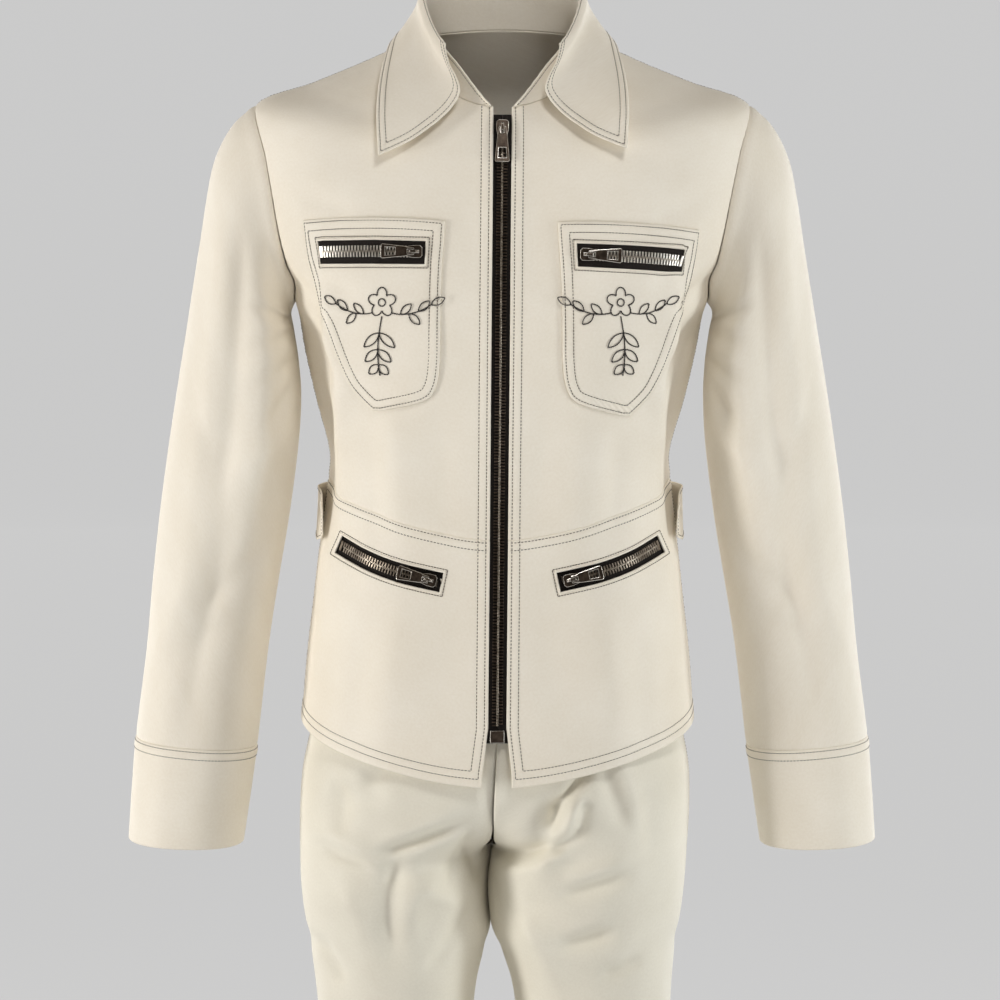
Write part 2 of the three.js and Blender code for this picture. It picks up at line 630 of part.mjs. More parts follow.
// ---------------------------------------------------------------- sleeves and cuffs
for (const side of [RIGHT, LEFT]) {
  const name = SIDE_NAMES[side];
  const grid = sleeves[side];
  const last = grid.length - 1;
  const middles = grid.map(middleOf);
  const down = middles[last].clone().sub(middles[last - 1]).normalize();
  grid[last].forEach((p) => p.addScaledVector(down, -SEAM_GAP / 2));
  const normals = outwardNormals(grid, true, (i) => middles[i]);
  normals[0] = armholes[side];
  piece(`sleeve_${name}`, wall(grid, JACKET_CLOTH, normals, { closed: true }), JACKET_FINISH);

  const turns = evenly(0, 1, 2 * ARMHOLE_STEPS).slice(0, -1);
  const cuff = CUFF_RINGS.map((ring) => turns.map((turn) => sleeveRing(turn, ring, side)));
  cuff[0].forEach((p) => p.addScaledVector(down, SEAM_GAP / 2));
  const cuffMiddles = cuff.map(middleOf);
  const cuffNormals = outwardNormals(cuff, true, (i) => cuffMiddles[i]);
  piece(`cuff_${name}`, wall(cuff, JACKET_CLOTH, cuffNormals, { closed: true }), JACKET_FINISH);
}

// ---------------------------------------------------------------- collar
// Lines of the collar on the wearer's left, from the centre front round to the centre back.
// The fold is the top of the stand, and the edge is the outer edge of the leaf from its point.
const COLLAR_FOLD = [
  [11, -86, -44],
  [22, -81, -30],
  [37, -71, -9],
  [51, -57, 8],
  [59, -42, 22],
  [65, -24, 39],
  [67, -4, 52],
  [60, 34, 62],
  [33, 58, 66],
  [0, 65, 67],
];
const LEAF_START = 0.265; // where the leaf begins along the fold
const LEAF_FRONT = [
  [37, -82, -40],
  [70, -100, -70],
  [105, -107, -86],
];
const LEAF_EDGE = [
  [105, -107, -86],
  [107, -92, -54],
  [106, -72, -28],
  [101.5, -42, -1],
  [97.5, -14, 12],
  [90, 22, 18],
  [76, 52, 20],
  [44, 77, 21],
  [0, 86, 21],
];
const LEAF_POINT_LIFT = { [LEFT]: 6, [RIGHT]: 0 }; // one point of the collar sits higher
const STAND_STEPS = 13;
const LEAF_BULGE = 2.5; // the leaf rolls outwards before it falls

function curveThrough(points) {
  const knots = points.map((p) => new THREE.Vector3(...p));
  return new THREE.CatmullRomCurve3(knots, false, "centripetal");
}
const mirrored = (p, side) => new THREE.Vector3(p.x * side + LEAN_TOP, p.y, p.z);
const foldCurve = curveThrough(COLLAR_FOLD);
const frontCurve = curveThrough([foldCurve.getPointAt(LEAF_START).toArray(), ...LEAF_FRONT]);
const edgeCurve = curveThrough(LEAF_EDGE);

// The stand: from just above the neck seam to just under the fold, over both halves.
function standGrid() {
  const halves = [];
  for (const side of [RIGHT, LEFT]) {
    const half = evenly(0, 1, STAND_STEPS).map((along) => {
      const fold = mirrored(foldCurve.getPointAt(along), side);
      const start = Math.atan2(ZIP_OPENING_HALF + 1.5, body("front_depth", NECK_ROW));
      const angle = side * (start + (Math.PI - start) * along);
      const neck = torso(angle, NECK_ROW).add(new THREE.Vector3(0, 0, 2 * SEAM_GAP));
      return [0, 0.48, 0.95].map((up) => neck.clone().lerp(fold, up));
    });
    halves.push(side === RIGHT ? half : half.reverse().slice(1));
  }
  const columns = halves.flat();
  return [0, 1, 2].map((i) => columns.map((column) => column[i]));
}
const neckCore = (grid, drop) => (i, j) => new THREE.Vector3(LEAN_TOP, -12, grid[i][j].z - drop);
const stand = standGrid();
const standNormals = outwardNormals(stand, false, neckCore(stand, 0));
piece("collar_stand", wall(stand, COLLAR_CLOTH, standNormals), JACKET_FINISH);

// A point of the leaf on one side: a patch between the fold, the front edge and the outer edge.
const LEAF_LIFT = 4.2; // the roll of the leaf clears the stand by this much
function leafPoint(along, fall, side) {
  const fold = foldCurve.getPointAt(LEAF_START + (1 - LEAF_START) * along);
  const outward = new THREE.Vector3(fold.x, fold.y + 12, 0).normalize();
  fold.addScaledVector(outward, LEAF_LIFT * Math.min(1, 0.2 + fall * 6)).add(new THREE.Vector3(0, 0, 3.2));
  const edge = edgeCurve.getPointAt(along);
  const front = frontCurve.getPoint(fall);
  const frontLine = frontCurve.getPoint(0).lerp(frontCurve.getPoint(1), fall);
  const p = fold.clone().lerp(edge, fall);
  p.addScaledVector(front.sub(frontLine), (1 - along) ** 3);
  const roll = Math.sin(Math.PI * Math.sqrt(fall)) * (1 - fall);
  p.addScaledVector(outward, LEAF_BULGE * roll).add(new THREE.Vector3(0, 0, LEAF_BULGE * 0.5 * roll));
  p.z += LEAF_POINT_LIFT[side] * fall * (1 - along) ** 4;
  return mirrored(p, side);
}
const LEAF_FALLS = [0, 0.08, 0.19, 1 / 3, 0.5, 2 / 3, 0.84, 1];
const LEAF_ALONG = evenly(0, 1, 13);
const leafGrid = LEAF_FALLS.map((fall) => [
  ...LEAF_ALONG.map((along) => leafPoint(along, fall, RIGHT)),
  ...LEAF_ALONG.map((along) => leafPoint(along, fall, LEFT)).reverse().slice(1),
]);
const leafNormals = outwardNormals(leafGrid, false, neckCore(leafGrid, 60));
piece("collar_leaf", wall(leafGrid, COLLAR_CLOTH, leafNormals), JACKET_FINISH);

// ---------------------------------------------------------------- chest pockets
// A place on the front by the pocket's own row and the share of its width from the inner edge.
function pocketPlace(row, share, side) {
  const x = pocket("inner_x", row) + (pocket("outer_x", row) - pocket("inner_x", row)) * share;
  const arch = POCKET_ARCH * 4 * share * (1 - share) * Math.max(0, 1 - row / 2.5);
  const z = pocket("z", row) + arch + POCKET_LEVEL[side] - POCKET_SLOPE[side] * (x - 50);
  return onFront(side * x + POCKET_MIDDLE[side], z);
}

// Cloth or metal laid on the front: its outer face is `out` from the front's own face.
function laid(places, out, thickness, skip) {
  return wall(pointsOf(places, out), thickness, normalsOf(places), { skip });
}

for (const side of [RIGHT, LEFT]) {
  const name = SIDE_NAMES[side];
  const rows = evenly(0, POCKET_ROWS, POCKET_ROWS);
  const places = rows.map((row) => POCKET_COLUMNS.map((share) => pocketPlace(row, share, side)));
  const inWindow = (i, j) => i === WINDOW_ROW && j >= WINDOW_COLUMNS[0] && j < WINDOW_COLUMNS[1];
  const patch = laid(places, POCKET_GAP + PATCH_CLOTH, PATCH_CLOTH, inWindow);
  piece(`chest_pocket_${name}`, patch, JACKET_FINISH);

  const [start, end] = WINDOW_COLUMNS.map((column) => POCKET_COLUMNS[column]);
  const between = POCKET_COLUMNS.slice(WINDOW_COLUMNS[0] + 1, WINDOW_COLUMNS[1]);
  const strip = (halfRows, margin) => {
    const columns = [start + margin, ...between, end - margin];
    const ends = [1.5 - halfRows, 1.5 + halfRows];
    return ends.map((row) => columns.map((share) => pocketPlace(row, share, side)));
  };
  const tape = laid(strip(0.47, 0.004), POCKET_GAP + POCKET_TAPE_OUT, POCKET_TAPE_THICK);
  piece(`chest_zip_tape_${name}`, tape, TAPE_FINISH);
  const chainPlaces = strip(SMALL_CHAIN_HALF / WINDOW_HEIGHT, 0.02);
  const chain = laid(chainPlaces, POCKET_GAP + POCKET_CHAIN_OUT, POCKET_CHAIN_THICK);
  piece(`chest_zip_chain_${name}`, chain, METAL_FINISH);
}

// ---------------------------------------------------------------- zips of the jacket
const hipLine = curveThrough(HIP_ZIP.map(([x, z]) => [x, 0, z]));

function hipPlace(share, across, side) {
  const p = share <= 1 ? hipLine.getPointAt(Math.max(0, share)) : hipLine.getPointAt(1);
  const along = hipLine.getTangentAt(Math.max(0, Math.min(1, share)));
  const beyond = (share - Math.max(0, Math.min(1, share))) * hipLine.getLength();
  p.addScaledVector(along, beyond).add(new THREE.Vector3(-along.z * across, 0, along.x * across));
  return onFront(side * p.x, p.z);
}

function hipStrip(from, to, levels, side, steps = 9) {
  return levels.map((across) => evenly(from, to, steps).map((share) => hipPlace(share, across, side)));
}

for (const side of [RIGHT, LEFT]) {
  const name = SIDE_NAMES[side];
  const tool = laid(hipStrip(0, 1, [HIP_WINDOW_HALF, -HIP_WINDOW_HALF], side, 4), ...HIP_CUT);
  const panel = suit.getObjectByName(`front_lower_${name}`);
  panel.geometry = cutBy(panel.geometry, tool);
  const tapePlaces = hipStrip(-0.05, 1.04, [HIP_TAPE_HALF, 0, -HIP_TAPE_HALF], side);
  const tape = laid(tapePlaces, HIP_TAPE_OUT, TAPE_THICK);
  piece(`hip_zip_tape_${name}`, tape, TAPE_FINISH);
  const chainPlaces = hipStrip(0.02, 0.98, [SMALL_CHAIN_HALF, -SMALL_CHAIN_HALF], side);
  const chain = laid(chainPlaces, HIP_CHAIN_OUT, HIP_CHAIN_THICK);
  piece(`hip_zip_chain_${name}`, chain, METAL_FINISH);
}

// The front zip: a place by its distance from the middle line and its height.
const zipPlace = (x, z) => onFront(x + lean(z), z);

for (const side of [RIGHT, LEFT]) {
  const columns = evenly(ZIP_TOP_Z, ZIP_BOTTOM_Z, ZIP_STEPS);
  const tape = [0.3, TAPE_HALF].map((x) => columns.map((z) => zipPlace(side * x, z)));
  piece(`front_zip_tape_${SIDE_NAMES[side]}`, laid(tape, -ZIP_SINK, TAPE_THICK), TAPE_FINISH);
}
{
  const columns = evenly(ZIP_TOP_Z - 4, ZIP_BOTTOM_Z + 12, ZIP_STEPS);
  const chain = [-CHAIN_HALF, CHAIN_HALF].map((x) => columns.map((z) => zipPlace(x, z)));
  piece("front_zip_chain", laid(chain, -ZIP_SINK + SEAM_GAP + CHAIN_THICK, CHAIN_THICK), METAL_FINISH);
  const box = [-6, 6].map((x) => [ZIP_BOTTOM_Z + 11, ZIP_BOTTOM_Z + 0.5].map((z) => zipPlace(x, z)));
  piece("front_zip_box", laid(box, -ZIP_SINK + SEAM_GAP + 2.8, 2.8), METAL_FINISH);
}

// ---------------------------------------------------------------- sliders and pull tabs
// Both are drawn flat: X along the pull tab as it rests, Z out of the cloth, the origin on the chain.
const PIVOT = 3.9; // height of the pull's axis over the chain

function outline(points, holes = []) {
  const shape = new THREE.Shape(points.map(([x, y]) => new THREE.Vector2(x, y)));
  for (const hole of holes) shape.holes.push(new THREE.Path(hole.map(([x, y]) => new THREE.Vector2(x, y))));
  return shape;
}

function plate(shape, low, high) {
  return new THREE.ExtrudeGeometry(shape, { depth: high - low, bevelEnabled: false }).translate(0, 0, low);
}

function sliderForm() {
  const half = [[7.2, 2.4], [6.4, 4.1], [0.5, 5.3], [-5.6, 5.3], [-7.4, 3.4]];
  const top = outline([...half.map(([x, y]) => [x, -y]).reverse(), ...half]);
  const bailSide = outline(
    [[-4.4, 2], [4.4, 2], [4.2, 4.6], [2.8, 6], [-2.8, 6], [-4.2, 4.6]],
    [[[-2.7, 2.8], [-2.7, 4.3], [-2, 5.1], [2, 5.1], [2.7, 4.3], [2.7, 2.8]]],
  );
  const bail = plate(bailSide, -1, 1).rotateX(Math.PI / 2);
  return joined(plate(top, 0.3, 2.3), bail);
}

function pullForm(length) {
  const neck = 5.1; // the tab starts this far from its axis, past the slider's bail
  const edge = [[-0.7, 3.1], [4.4, 3.4], [neck + 2, 4.3], [length - 1.2, 6.3], [length, 5.2]];
  const rim = [...edge, ...edge.map(([x, y]) => [x, -y]).reverse()].reverse();
  const loop = [[0.7, -1.6], [neck, -1.6], [neck, 1.6], [0.7, 1.6]];
  const slot = [[length - 12.5, -3.1], [length - 3.6, -3.6], [length - 3.6, 3.6], [length - 12.5, 3.1]];
  return plate(outline(rim, [loop, slot]), PIVOT - 0.7, PIVOT + 0.7);
}

// Where each slider rests: the point over the chain, the way its pull lies, and the way out of the cloth.
function addSlider(name, place, towards, out, length) {
  const at = torsoOut(...place, out);
  const along = torsoOut(...towards, out).sub(at).normalize();
  const up = normalOf(torso, ...place);
  up.addScaledVector(along, -up.dot(along)).normalize();
  const across = up.clone().cross(along);
  const frame = new THREE.Matrix4().makeBasis(along, across, up).setPosition(at);
  piece(`${name}_slider`, sliderForm().applyMatrix4(frame), METAL_FINISH);
  piece(`${name}_pull`, pullForm(length).applyMatrix4(frame), METAL_FINISH);
}

const FRONT_CHAIN_TOP = -ZIP_SINK + SEAM_GAP + CHAIN_THICK;
const FRONT_PULL = 31;
const SMALL_PULL = 28;
const frontRest = [13, 43].map((below) => zipPlace(0, ZIP_TOP_Z - below));
addSlider("front_zip", ...frontRest, FRONT_CHAIN_TOP + 0.2, FRONT_PULL);
for (const side of [RIGHT, LEFT]) {
  const name = SIDE_NAMES[side];
  const chest = [0.205, 0.46].map((share) => pocketPlace(1.5, share, side));
  addSlider(`chest_zip_${name}`, ...chest, POCKET_GAP + POCKET_SLIDER_OUT, SMALL_PULL);
  const hip = [0.12, 0.42].map((share) => hipPlace(share, 0, side));
  addSlider(`hip_zip_${name}`, ...hip, HIP_SLIDER_OUT, SMALL_PULL);
}

// ---------------------------------------------------------------- waist tabs
for (const side of [RIGHT, LEFT]) {
  const name = SIDE_NAMES[side];
  const angles = evenly(...TAB_ANGLES, 9);
  const [top, bottom] = TAB_PROUD[side];
  const proud = (angle, row) => {
    const down = (TAB_ROWS[0] - row) / (TAB_ROWS[0] - TAB_ROWS[2]);
    const free = Math.max(0, (TAB_FLAT_ANGLE - angle) / (TAB_FLAT_ANGLE - SIDE)) ** 1.3;
    return POCKET_GAP + PATCH_CLOTH + (top + (bottom - top) * down) * free * TAB_SPRING;
  };
  const taper = (angle) => Math.min(1, 0.72 + (angle - TAB_ANGLES[0]) * 3);
  const grid = TAB_ROWS.map((level) =>
    angles.map((angle) => {
      const row = TAB_ROWS[1] + (level - TAB_ROWS[1]) * taper(angle);
      return torsoOut(side * angle, row, proud(angle, row));
    }),
  );
  const normals = outwardNormals(grid, false, bodyCentre(grid));
  piece(`waist_tab_${name}`, wall(grid, PATCH_CLOTH, normals), JACKET_FINISH);
  const spot = [side * BUTTON_ANGLE, TAB_ROWS[1]];
  const up = normalOf(torso, ...spot);
  const disc = new THREE.CylinderGeometry(BUTTON_RADIUS, BUTTON_RADIUS, BUTTON_THICK, 20);
  disc.applyQuaternion(new THREE.Quaternion().setFromUnitVectors(new THREE.Vector3(0, 1, 0), up));
  const seat = POCKET_GAP + PATCH_CLOTH + BUTTON_LIFT;
  disc.translate(...torsoOut(...spot, seat + BUTTON_THICK / 2).toArray());
  piece(`waist_tab_button_${name}`, disc, BUTTON_FINISH);
}

// ---------------------------------------------------------------- trousers
const TROUSER_ROWS = [
  ...[0, 1, 2, 3, 3.6, 4.2, 4.7, 5, 5.3, 5.6, 5.8, 5.92],
  ...[FORK_ROW, 6.5, 7, 8, 9, 10, 11, 12, 12.8, 13.5, 14.2, 15.2, TROUSER_HEM_ROW],
];

for (const side of [RIGHT, LEFT])
  for (const face of ["front", "back"]) {
    const away = face === "front" ? 1 : -1;
    const surface = (angle, row) => trouser(angle, row, side);
    const places = TROUSER_ROWS.map((row) =>
      evenly(0, 1, 8).map((share) => [away * Math.max(0.0012, legAngle(face, row, share)), row]),
    );
    const grid = each(places, ([angle, row]) => surface(angle, row));
    const normals = each(places, ([angle, row], i, j) => {
      const normal = normalOf(surface, angle, row);
      const z = leg("z", row);
      const middle = new THREE.Vector3(side * leg("centre_x", row) + lean(z), 0, z);
      return normal.multiplyScalar(normal.dot(grid[i][j].clone().sub(middle)) < 0 ? -1 : 1);
    });
    piece(`trouser_${face}_${SIDE_NAMES[side]}`, wall(grid, TROUSER_CLOTH, normals), TROUSER_FINISH);
  }

// The waistband meets the top of the trousers and fastens at the centre front.
{
  const levels = [-456 + SEAM_GAP, -437, -456 + WAISTBAND_HEIGHT];
  const grid = levels.map((z, i) =>
    evenly(0.02, 2 * Math.PI - 0.02, 30).map((angle) => {
      const [s, c] = [Math.sin(angle), Math.cos(angle)];
      const shrink = 1 - 0.012 * i;
      const n = leg("squareness", 0);
      const depth = leg(c > 0 ? "front_depth" : "back_depth", 0);
      const ring = (Math.abs(s / leg("half_width", 0)) ** n + Math.abs(c / depth) ** n) ** (-1 / n);
      return new THREE.Vector3(shrink * ring * s + lean(z), -shrink * ring * c, z);
    }),
  );
  const normals = outwardNormals(grid, false, bodyCentre(grid));
  piece("trouser_waistband", wall(grid, TROUSER_CLOTH + 0.8, normals), TROUSER_FINISH);
}

export default suit;
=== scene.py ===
"""A western suit as worn: zip-front jacket with a pointed collar, over plain trousers.

All forms are worked out in millimetres in the part's own frame (+Z up, the front faces -Y, +X is the
wearer's left) and turned into metres when a mesh is made.
"""
import math

import bpy
import numpy as np
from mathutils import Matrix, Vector


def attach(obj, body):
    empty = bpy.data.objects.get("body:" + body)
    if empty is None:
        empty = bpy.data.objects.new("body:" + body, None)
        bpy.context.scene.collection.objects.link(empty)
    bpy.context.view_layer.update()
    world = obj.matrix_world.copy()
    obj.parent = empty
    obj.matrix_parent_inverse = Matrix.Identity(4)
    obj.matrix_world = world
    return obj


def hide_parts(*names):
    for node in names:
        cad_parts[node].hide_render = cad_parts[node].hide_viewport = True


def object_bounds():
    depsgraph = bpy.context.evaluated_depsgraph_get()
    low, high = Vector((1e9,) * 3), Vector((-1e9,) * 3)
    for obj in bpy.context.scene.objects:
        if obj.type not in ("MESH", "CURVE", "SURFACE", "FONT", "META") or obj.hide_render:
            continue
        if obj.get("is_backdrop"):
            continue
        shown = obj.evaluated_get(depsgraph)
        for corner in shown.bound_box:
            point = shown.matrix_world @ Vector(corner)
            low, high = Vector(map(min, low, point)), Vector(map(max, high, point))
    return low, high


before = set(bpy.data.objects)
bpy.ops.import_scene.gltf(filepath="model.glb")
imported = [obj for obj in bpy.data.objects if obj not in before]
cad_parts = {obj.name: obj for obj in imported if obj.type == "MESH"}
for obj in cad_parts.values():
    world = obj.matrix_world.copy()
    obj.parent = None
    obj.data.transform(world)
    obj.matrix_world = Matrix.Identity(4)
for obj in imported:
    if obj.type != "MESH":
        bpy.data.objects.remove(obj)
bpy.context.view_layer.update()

MM = 0.001
LEFT, RIGHT = 1, -1
NAMES = {LEFT: "left", RIGHT: "right"}
JACKET_CLOTH = 1.6
TROUSER_CLOTH = 1.4
GRID = 4.0  # distance between mesh lines on the open cloth
FINE = 2.6

# ---------------------------------------------------------------- section tables


def table(columns, rows):
    """Reads a column of a table at any row: the smooth curve through the values, whose slope at a row
    is half the difference of its neighbours."""
    grid = np.array(rows, float)
    slopes = np.gradient(grid, axis=0)
    names = columns.split()

    def read(name, row):
        c = names.index(name)
        at = np.clip(np.asarray(row, float), 0, len(grid) - 1)
        i = np.minimum(at.astype(int), len(grid) - 2)
        u = at - i
        return (grid[i, c] * (2 * u**3 - 3 * u**2 + 1) + slopes[i, c] * (u**3 - 2 * u**2 + u)
                + grid[i + 1, c] * (3 * u**2 - 2 * u**3) + slopes[i + 1, c] * (u**3 - u**2))

    return read


# Rings round the body, from the jacket's hem to its neck.
body = table("side_z front_z back_z half_width front_depth back_depth squareness", [
    [-583, -628, -579, 175, 124, 122, 2.3],
    [-521, -557, -517, 170, 120, 117, 2.3],
    [-452, -487, -448, 162, 111, 105, 2.3],
    [-373, -417, -371, 152, 102, 94, 2.3],
    [-346, -371, -342, 151, 101, 93, 2.35],
    [-302, -319, -296, 163, 108, 101, 2.4],
    [-259, -269, -250, 173, 115, 109, 2.5],
    [-216, -225, -205, 181, 118, 114, 2.6],
    [-171, -189, -160, 197, 117, 114, 2.7],
    [-126, -155, -116, 212, 113, 110, 2.7],
    [-82, -124, -74, 221, 108, 103, 2.6],
    [-42, -98, -36, 216, 102, 92, 2.4],
    [-23, -79, -14, 166, 96, 80, 2.2],
    [-3, -62, 6, 117, 90, 68, 2.1],
    [17, -46, 24, 74, 83, 58, 2.0],
])
WAIST_ROW, ARMPIT_ROW, SHOULDER_ROW, NECK_ROW = 3, 7, 11, 14
SEAM_GAP = 0.3
ROW_GAP = SEAM_GAP / 2 / 60
ARMHOLE_CUT = {"front": 0.3, "back": 0.26}
ARMHOLE_SQUARENESS = 2.2
CENTRE_DROP = 1.25
LEAN_TOP, LEAN_BOTTOM = 2.2, -3.4
ZIP_OPENING_HALF, HEM_OPENING_HALF = 8.6, 13.5
ZIP_TOP_Z, ZIP_BOTTOM_Z = -51, -590
SIDE = math.pi / 2

# Rings of a sleeve, from the armhole to the cuff's hem.
arm = table("inner_x inner_z outer_x outer_z half_depth centre_y squareness", [
    [186, -216, 217, -42, 57, 0, 2.3],
    [187, -219, 237, -60, 60, 0, 2.2],
    [187, -224, 252, -89, 64, 0, 2.15],
    [186, -231, 260, -124, 67, 0, 2.1],
    [184, -241, 266.5, -164, 69, 0, 2.1],
    [182, -254, 273, -204, 70, 1, 2.1],
    [180, -271, 279.5, -243, 70, 2, 2.1],
    [178.5, -299, 286.5, -284, 69, 3, 2.1],
    [181, -341, 294.5, -333, 67, 5, 2.1],
    [189, -402, 304, -399, 64, 6, 2.1],
    [199, -463, 311, -460, 61, 4, 2.1],
    [209, -528, 317, -524, 58, 0, 2.1],
    [219, -611, 327, -602, 55, -5, 2.15],
    [225, -654, 331, -648, 53.5, -8, 2.15],
    [231, -697, 334, -693, 52, -10, 2.15],
])
CUFF_RING, CUFF_HEM_RING = 12, 14
ARMHOLE_FADE_RINGS = 3
SLEEVE_SHIFT = 1.6

# Level rings of one trouser half.
leg = table("z centre_x half_width front_depth back_depth squareness", [
    [-456, 0, 149, 93, 90, 2.2],
    [-500, 0, 157, 102, 101, 2.2],
    [-545, 0, 163.5, 109, 111, 2.2],
    [-590, 12, 154, 113, 118, 2.2],
    [-630, 38, 135, 113, 120, 2.2],
    [-668, 66, 108.5, 110, 117, 2.15],
    [-702, 87.1, 86.5, 105, 110, 2.1],
    [-735, 86.2, 85.7, 100, 104, 2.1],
    [-765, 84.5, 83.7, 96, 99, 2.1],
    [-783, 84.3, 79.6, 94, 97, 2.1],
    [-801, 86, 76.8, 92, 95, 2.1],
    [-836, 88.7, 71, 88, 91, 2.1],
    [-900, 89.6, 66.5, 82, 85, 2.1],
    [-1000, 89, 62.5, 75, 78, 2.1],
    [-1100, 88.5, 60.5, 70, 73, 2.1],
    [-1230, 88, 59.5, 69, 72, 2.15],
    [-1370, 87.5, 60.5, 71, 74, 2.15],
    [-1500, 87, 62, 73, 77, 2.15],
])
FORK_ROW, TROUSER_HEM_ROW = 6, 17
# Both legs move aside about the fork, each by an amount about a height and over a length.
FORK_Z = -735
THIGH_SHIFT, THIGH_Z, THIGH_REACH = -3.5, -750, 110
GAP_SHIFT, GAP_Z, GAP_REACH = -5.5, -737, 42
TOUCH_REACH, TOUCH_BEND, TOUCH_DEPTH = 50, 2.8, 10
CLOSED_TOP, CLOSED_BOTTOM = -700, -790  # the legs meet between these heights

# ---------------------------------------------------------------- folds
# Each fold is a line: from (p, q), to (p, q), its width and how far it lifts (+) or sinks (-) the cloth.
BODY_FOLDS = {
    "front": [
        (-176, -232, -118, -322, 17, -3.0), (176, -232, 122, -318, 17, -3.4),
        (-158, -300, -146, -392, 15, -2.6), (158, -300, 147, -392, 15, -2.6),
        (-92, -318, -86, -402, 20, 2.2), (98, -318, 88, -402, 20, 2.2), (-60, -470, -120, -590, 26, 2.0),
        (70, -480, 128, -585, 26, 2.2),
    ],
    "back": [
        (-160, -215, -96, -320, 20, -3.4), (160, -215, 98, -322, 20, -3.2), (0, -150, 0, -330, 30, -3.0),
        (-70, -400, -86, -560, 24, 2.6), (70, -400, 88, -560, 24, 2.6),
    ],
}
# Finer and sharper creases on the same cloth.
BODY_CREASES = {
    "front": [
        (-152, -196, -141, -300, 10, 4.6), (-140, -280, -140, -398, 9, 4.0),
        (-166, -205, -156, -398, 11, -6.0), (152, -196, 141, -300, 10, 4.4),
        (140, -280, 141, -396, 9, 3.8), (166, -205, 156, -398, 11, -6.0),
        (-187, -190, -150, -226, 7, -3.0), (-184, -176, -126, -204, 8, -1.8),
        (-180, -212, -144, -262, 8, 2.2), (-172, -226, -141, -290, 8, -2.6),
        (187, -188, 150, -222, 7, -3.2), (182, -172, 130, -196, 8, -1.9), (180, -210, 145, -258, 8, 2.2),
        (172, -228, 142, -292, 8, -2.8), (176, -126, 132, -140, 8, -2.4),
        (-172, -122, -130, -134, 9, -1.6), (-60, -60, -150, -92, 14, -1.8), (62, -62, 150, -95, 14, -1.8),
        (-88, -306, -80, -424, 15, 1.5), (-52, -300, -46, -418, 13, -1.6),
        (-112, -322, -106, -420, 10, -1.5), (70, -300, 62, -424, 16, 1.8), (40, -306, 34, -420, 13, -1.5),
        (104, -318, 98, -420, 11, -1.7), (-134, -402, -128, -470, 10, -1.4),
        (136, -402, 130, -466, 10, -1.5), (-34, -430, -48, -566, 18, -1.4), (40, -440, 56, -566, 18, -1.4),
        (-84, -470, -92, -590, 16, 1.4), (88, -470, 98, -590, 16, 1.4), (-150, -470, -158, -576, 13, -2.2),
        (150, -470, 160, -574, 13, -2.2), (-118, -500, -124, -600, 12, -1.5),
        (120, -500, 128, -598, 12, -1.5), (-28, -95, -24, -190, 16, -1.3), (32, -95, 28, -200, 16, -1.4),
        (-74, -200, -66, -300, 20, 1.2), (76, -196, 70, -300, 20, 1.3),
    ],
    "back": [
        (-186, -200, -140, -262, 9, -3.2), (186, -200, 142, -260, 9, -3.1),
        (-172, -236, -120, -330, 10, 2.4), (172, -236, 118, -332, 10, 2.3),
        (-120, -70, 120, -78, 14, -1.8), (-40, -330, -46, -410, 12, -2.4), (38, -326, 44, -408, 12, -2.4),
        (-100, -320, -92, -400, 10, 1.8), (104, -322, 94, -404, 10, 1.8), (-20, -420, -26, -560, 16, -2.2),
        (24, -420, 28, -560, 16, -2.1), (-140, -470, -150, -570, 14, -2.0),
        (142, -470, 152, -570, 14, -2.1), (-60, -120, -46, -260, 20, 1.8), (64, -120, 50, -262, 20, 1.8),
        (-90, -180, -70, -300, 12, -2.0), (92, -184, 72, -300, 12, -2.0),
    ],
}
LEG_FOLDS = {
    "front": [
        (-14, -690, -104, -716, 11, -4.2), (-20, -712, -78, -790, 14, -3.6),
        (-30, -740, -150, -728, 15, 3.2), (-96, -640, -150, -652, 10, -2.8), (52, -636, 34, -704, 9, -4.4),
        (78, -640, 40, -716, 10, 4.0), (10, -700, 92, -690, 12, -3.4), (16, -740, 104, -762, 13, -3.8),
        (24, -770, 120, -728, 13, 3.0), (60, -800, 126, -822, 14, -3.2), (-150, -800, -80, -850, 15, -3.0),
        (-52, -1060, -134, -1085, 16, -3.4), (52, -1096, 134, -1068, 16, -3.4),
    ],
    "back": [
        (-20, -700, -120, -740, 14, -4.0), (20, -704, 118, -748, 14, -4.0),
        (-28, -740, -120, -800, 15, -3.4), (28, -744, 120, -806, 15, -3.4),
        (-48, -1070, -130, -1092, 15, -4.2), (48, -1080, 130, -1058, 15, -4.2),
    ],
}
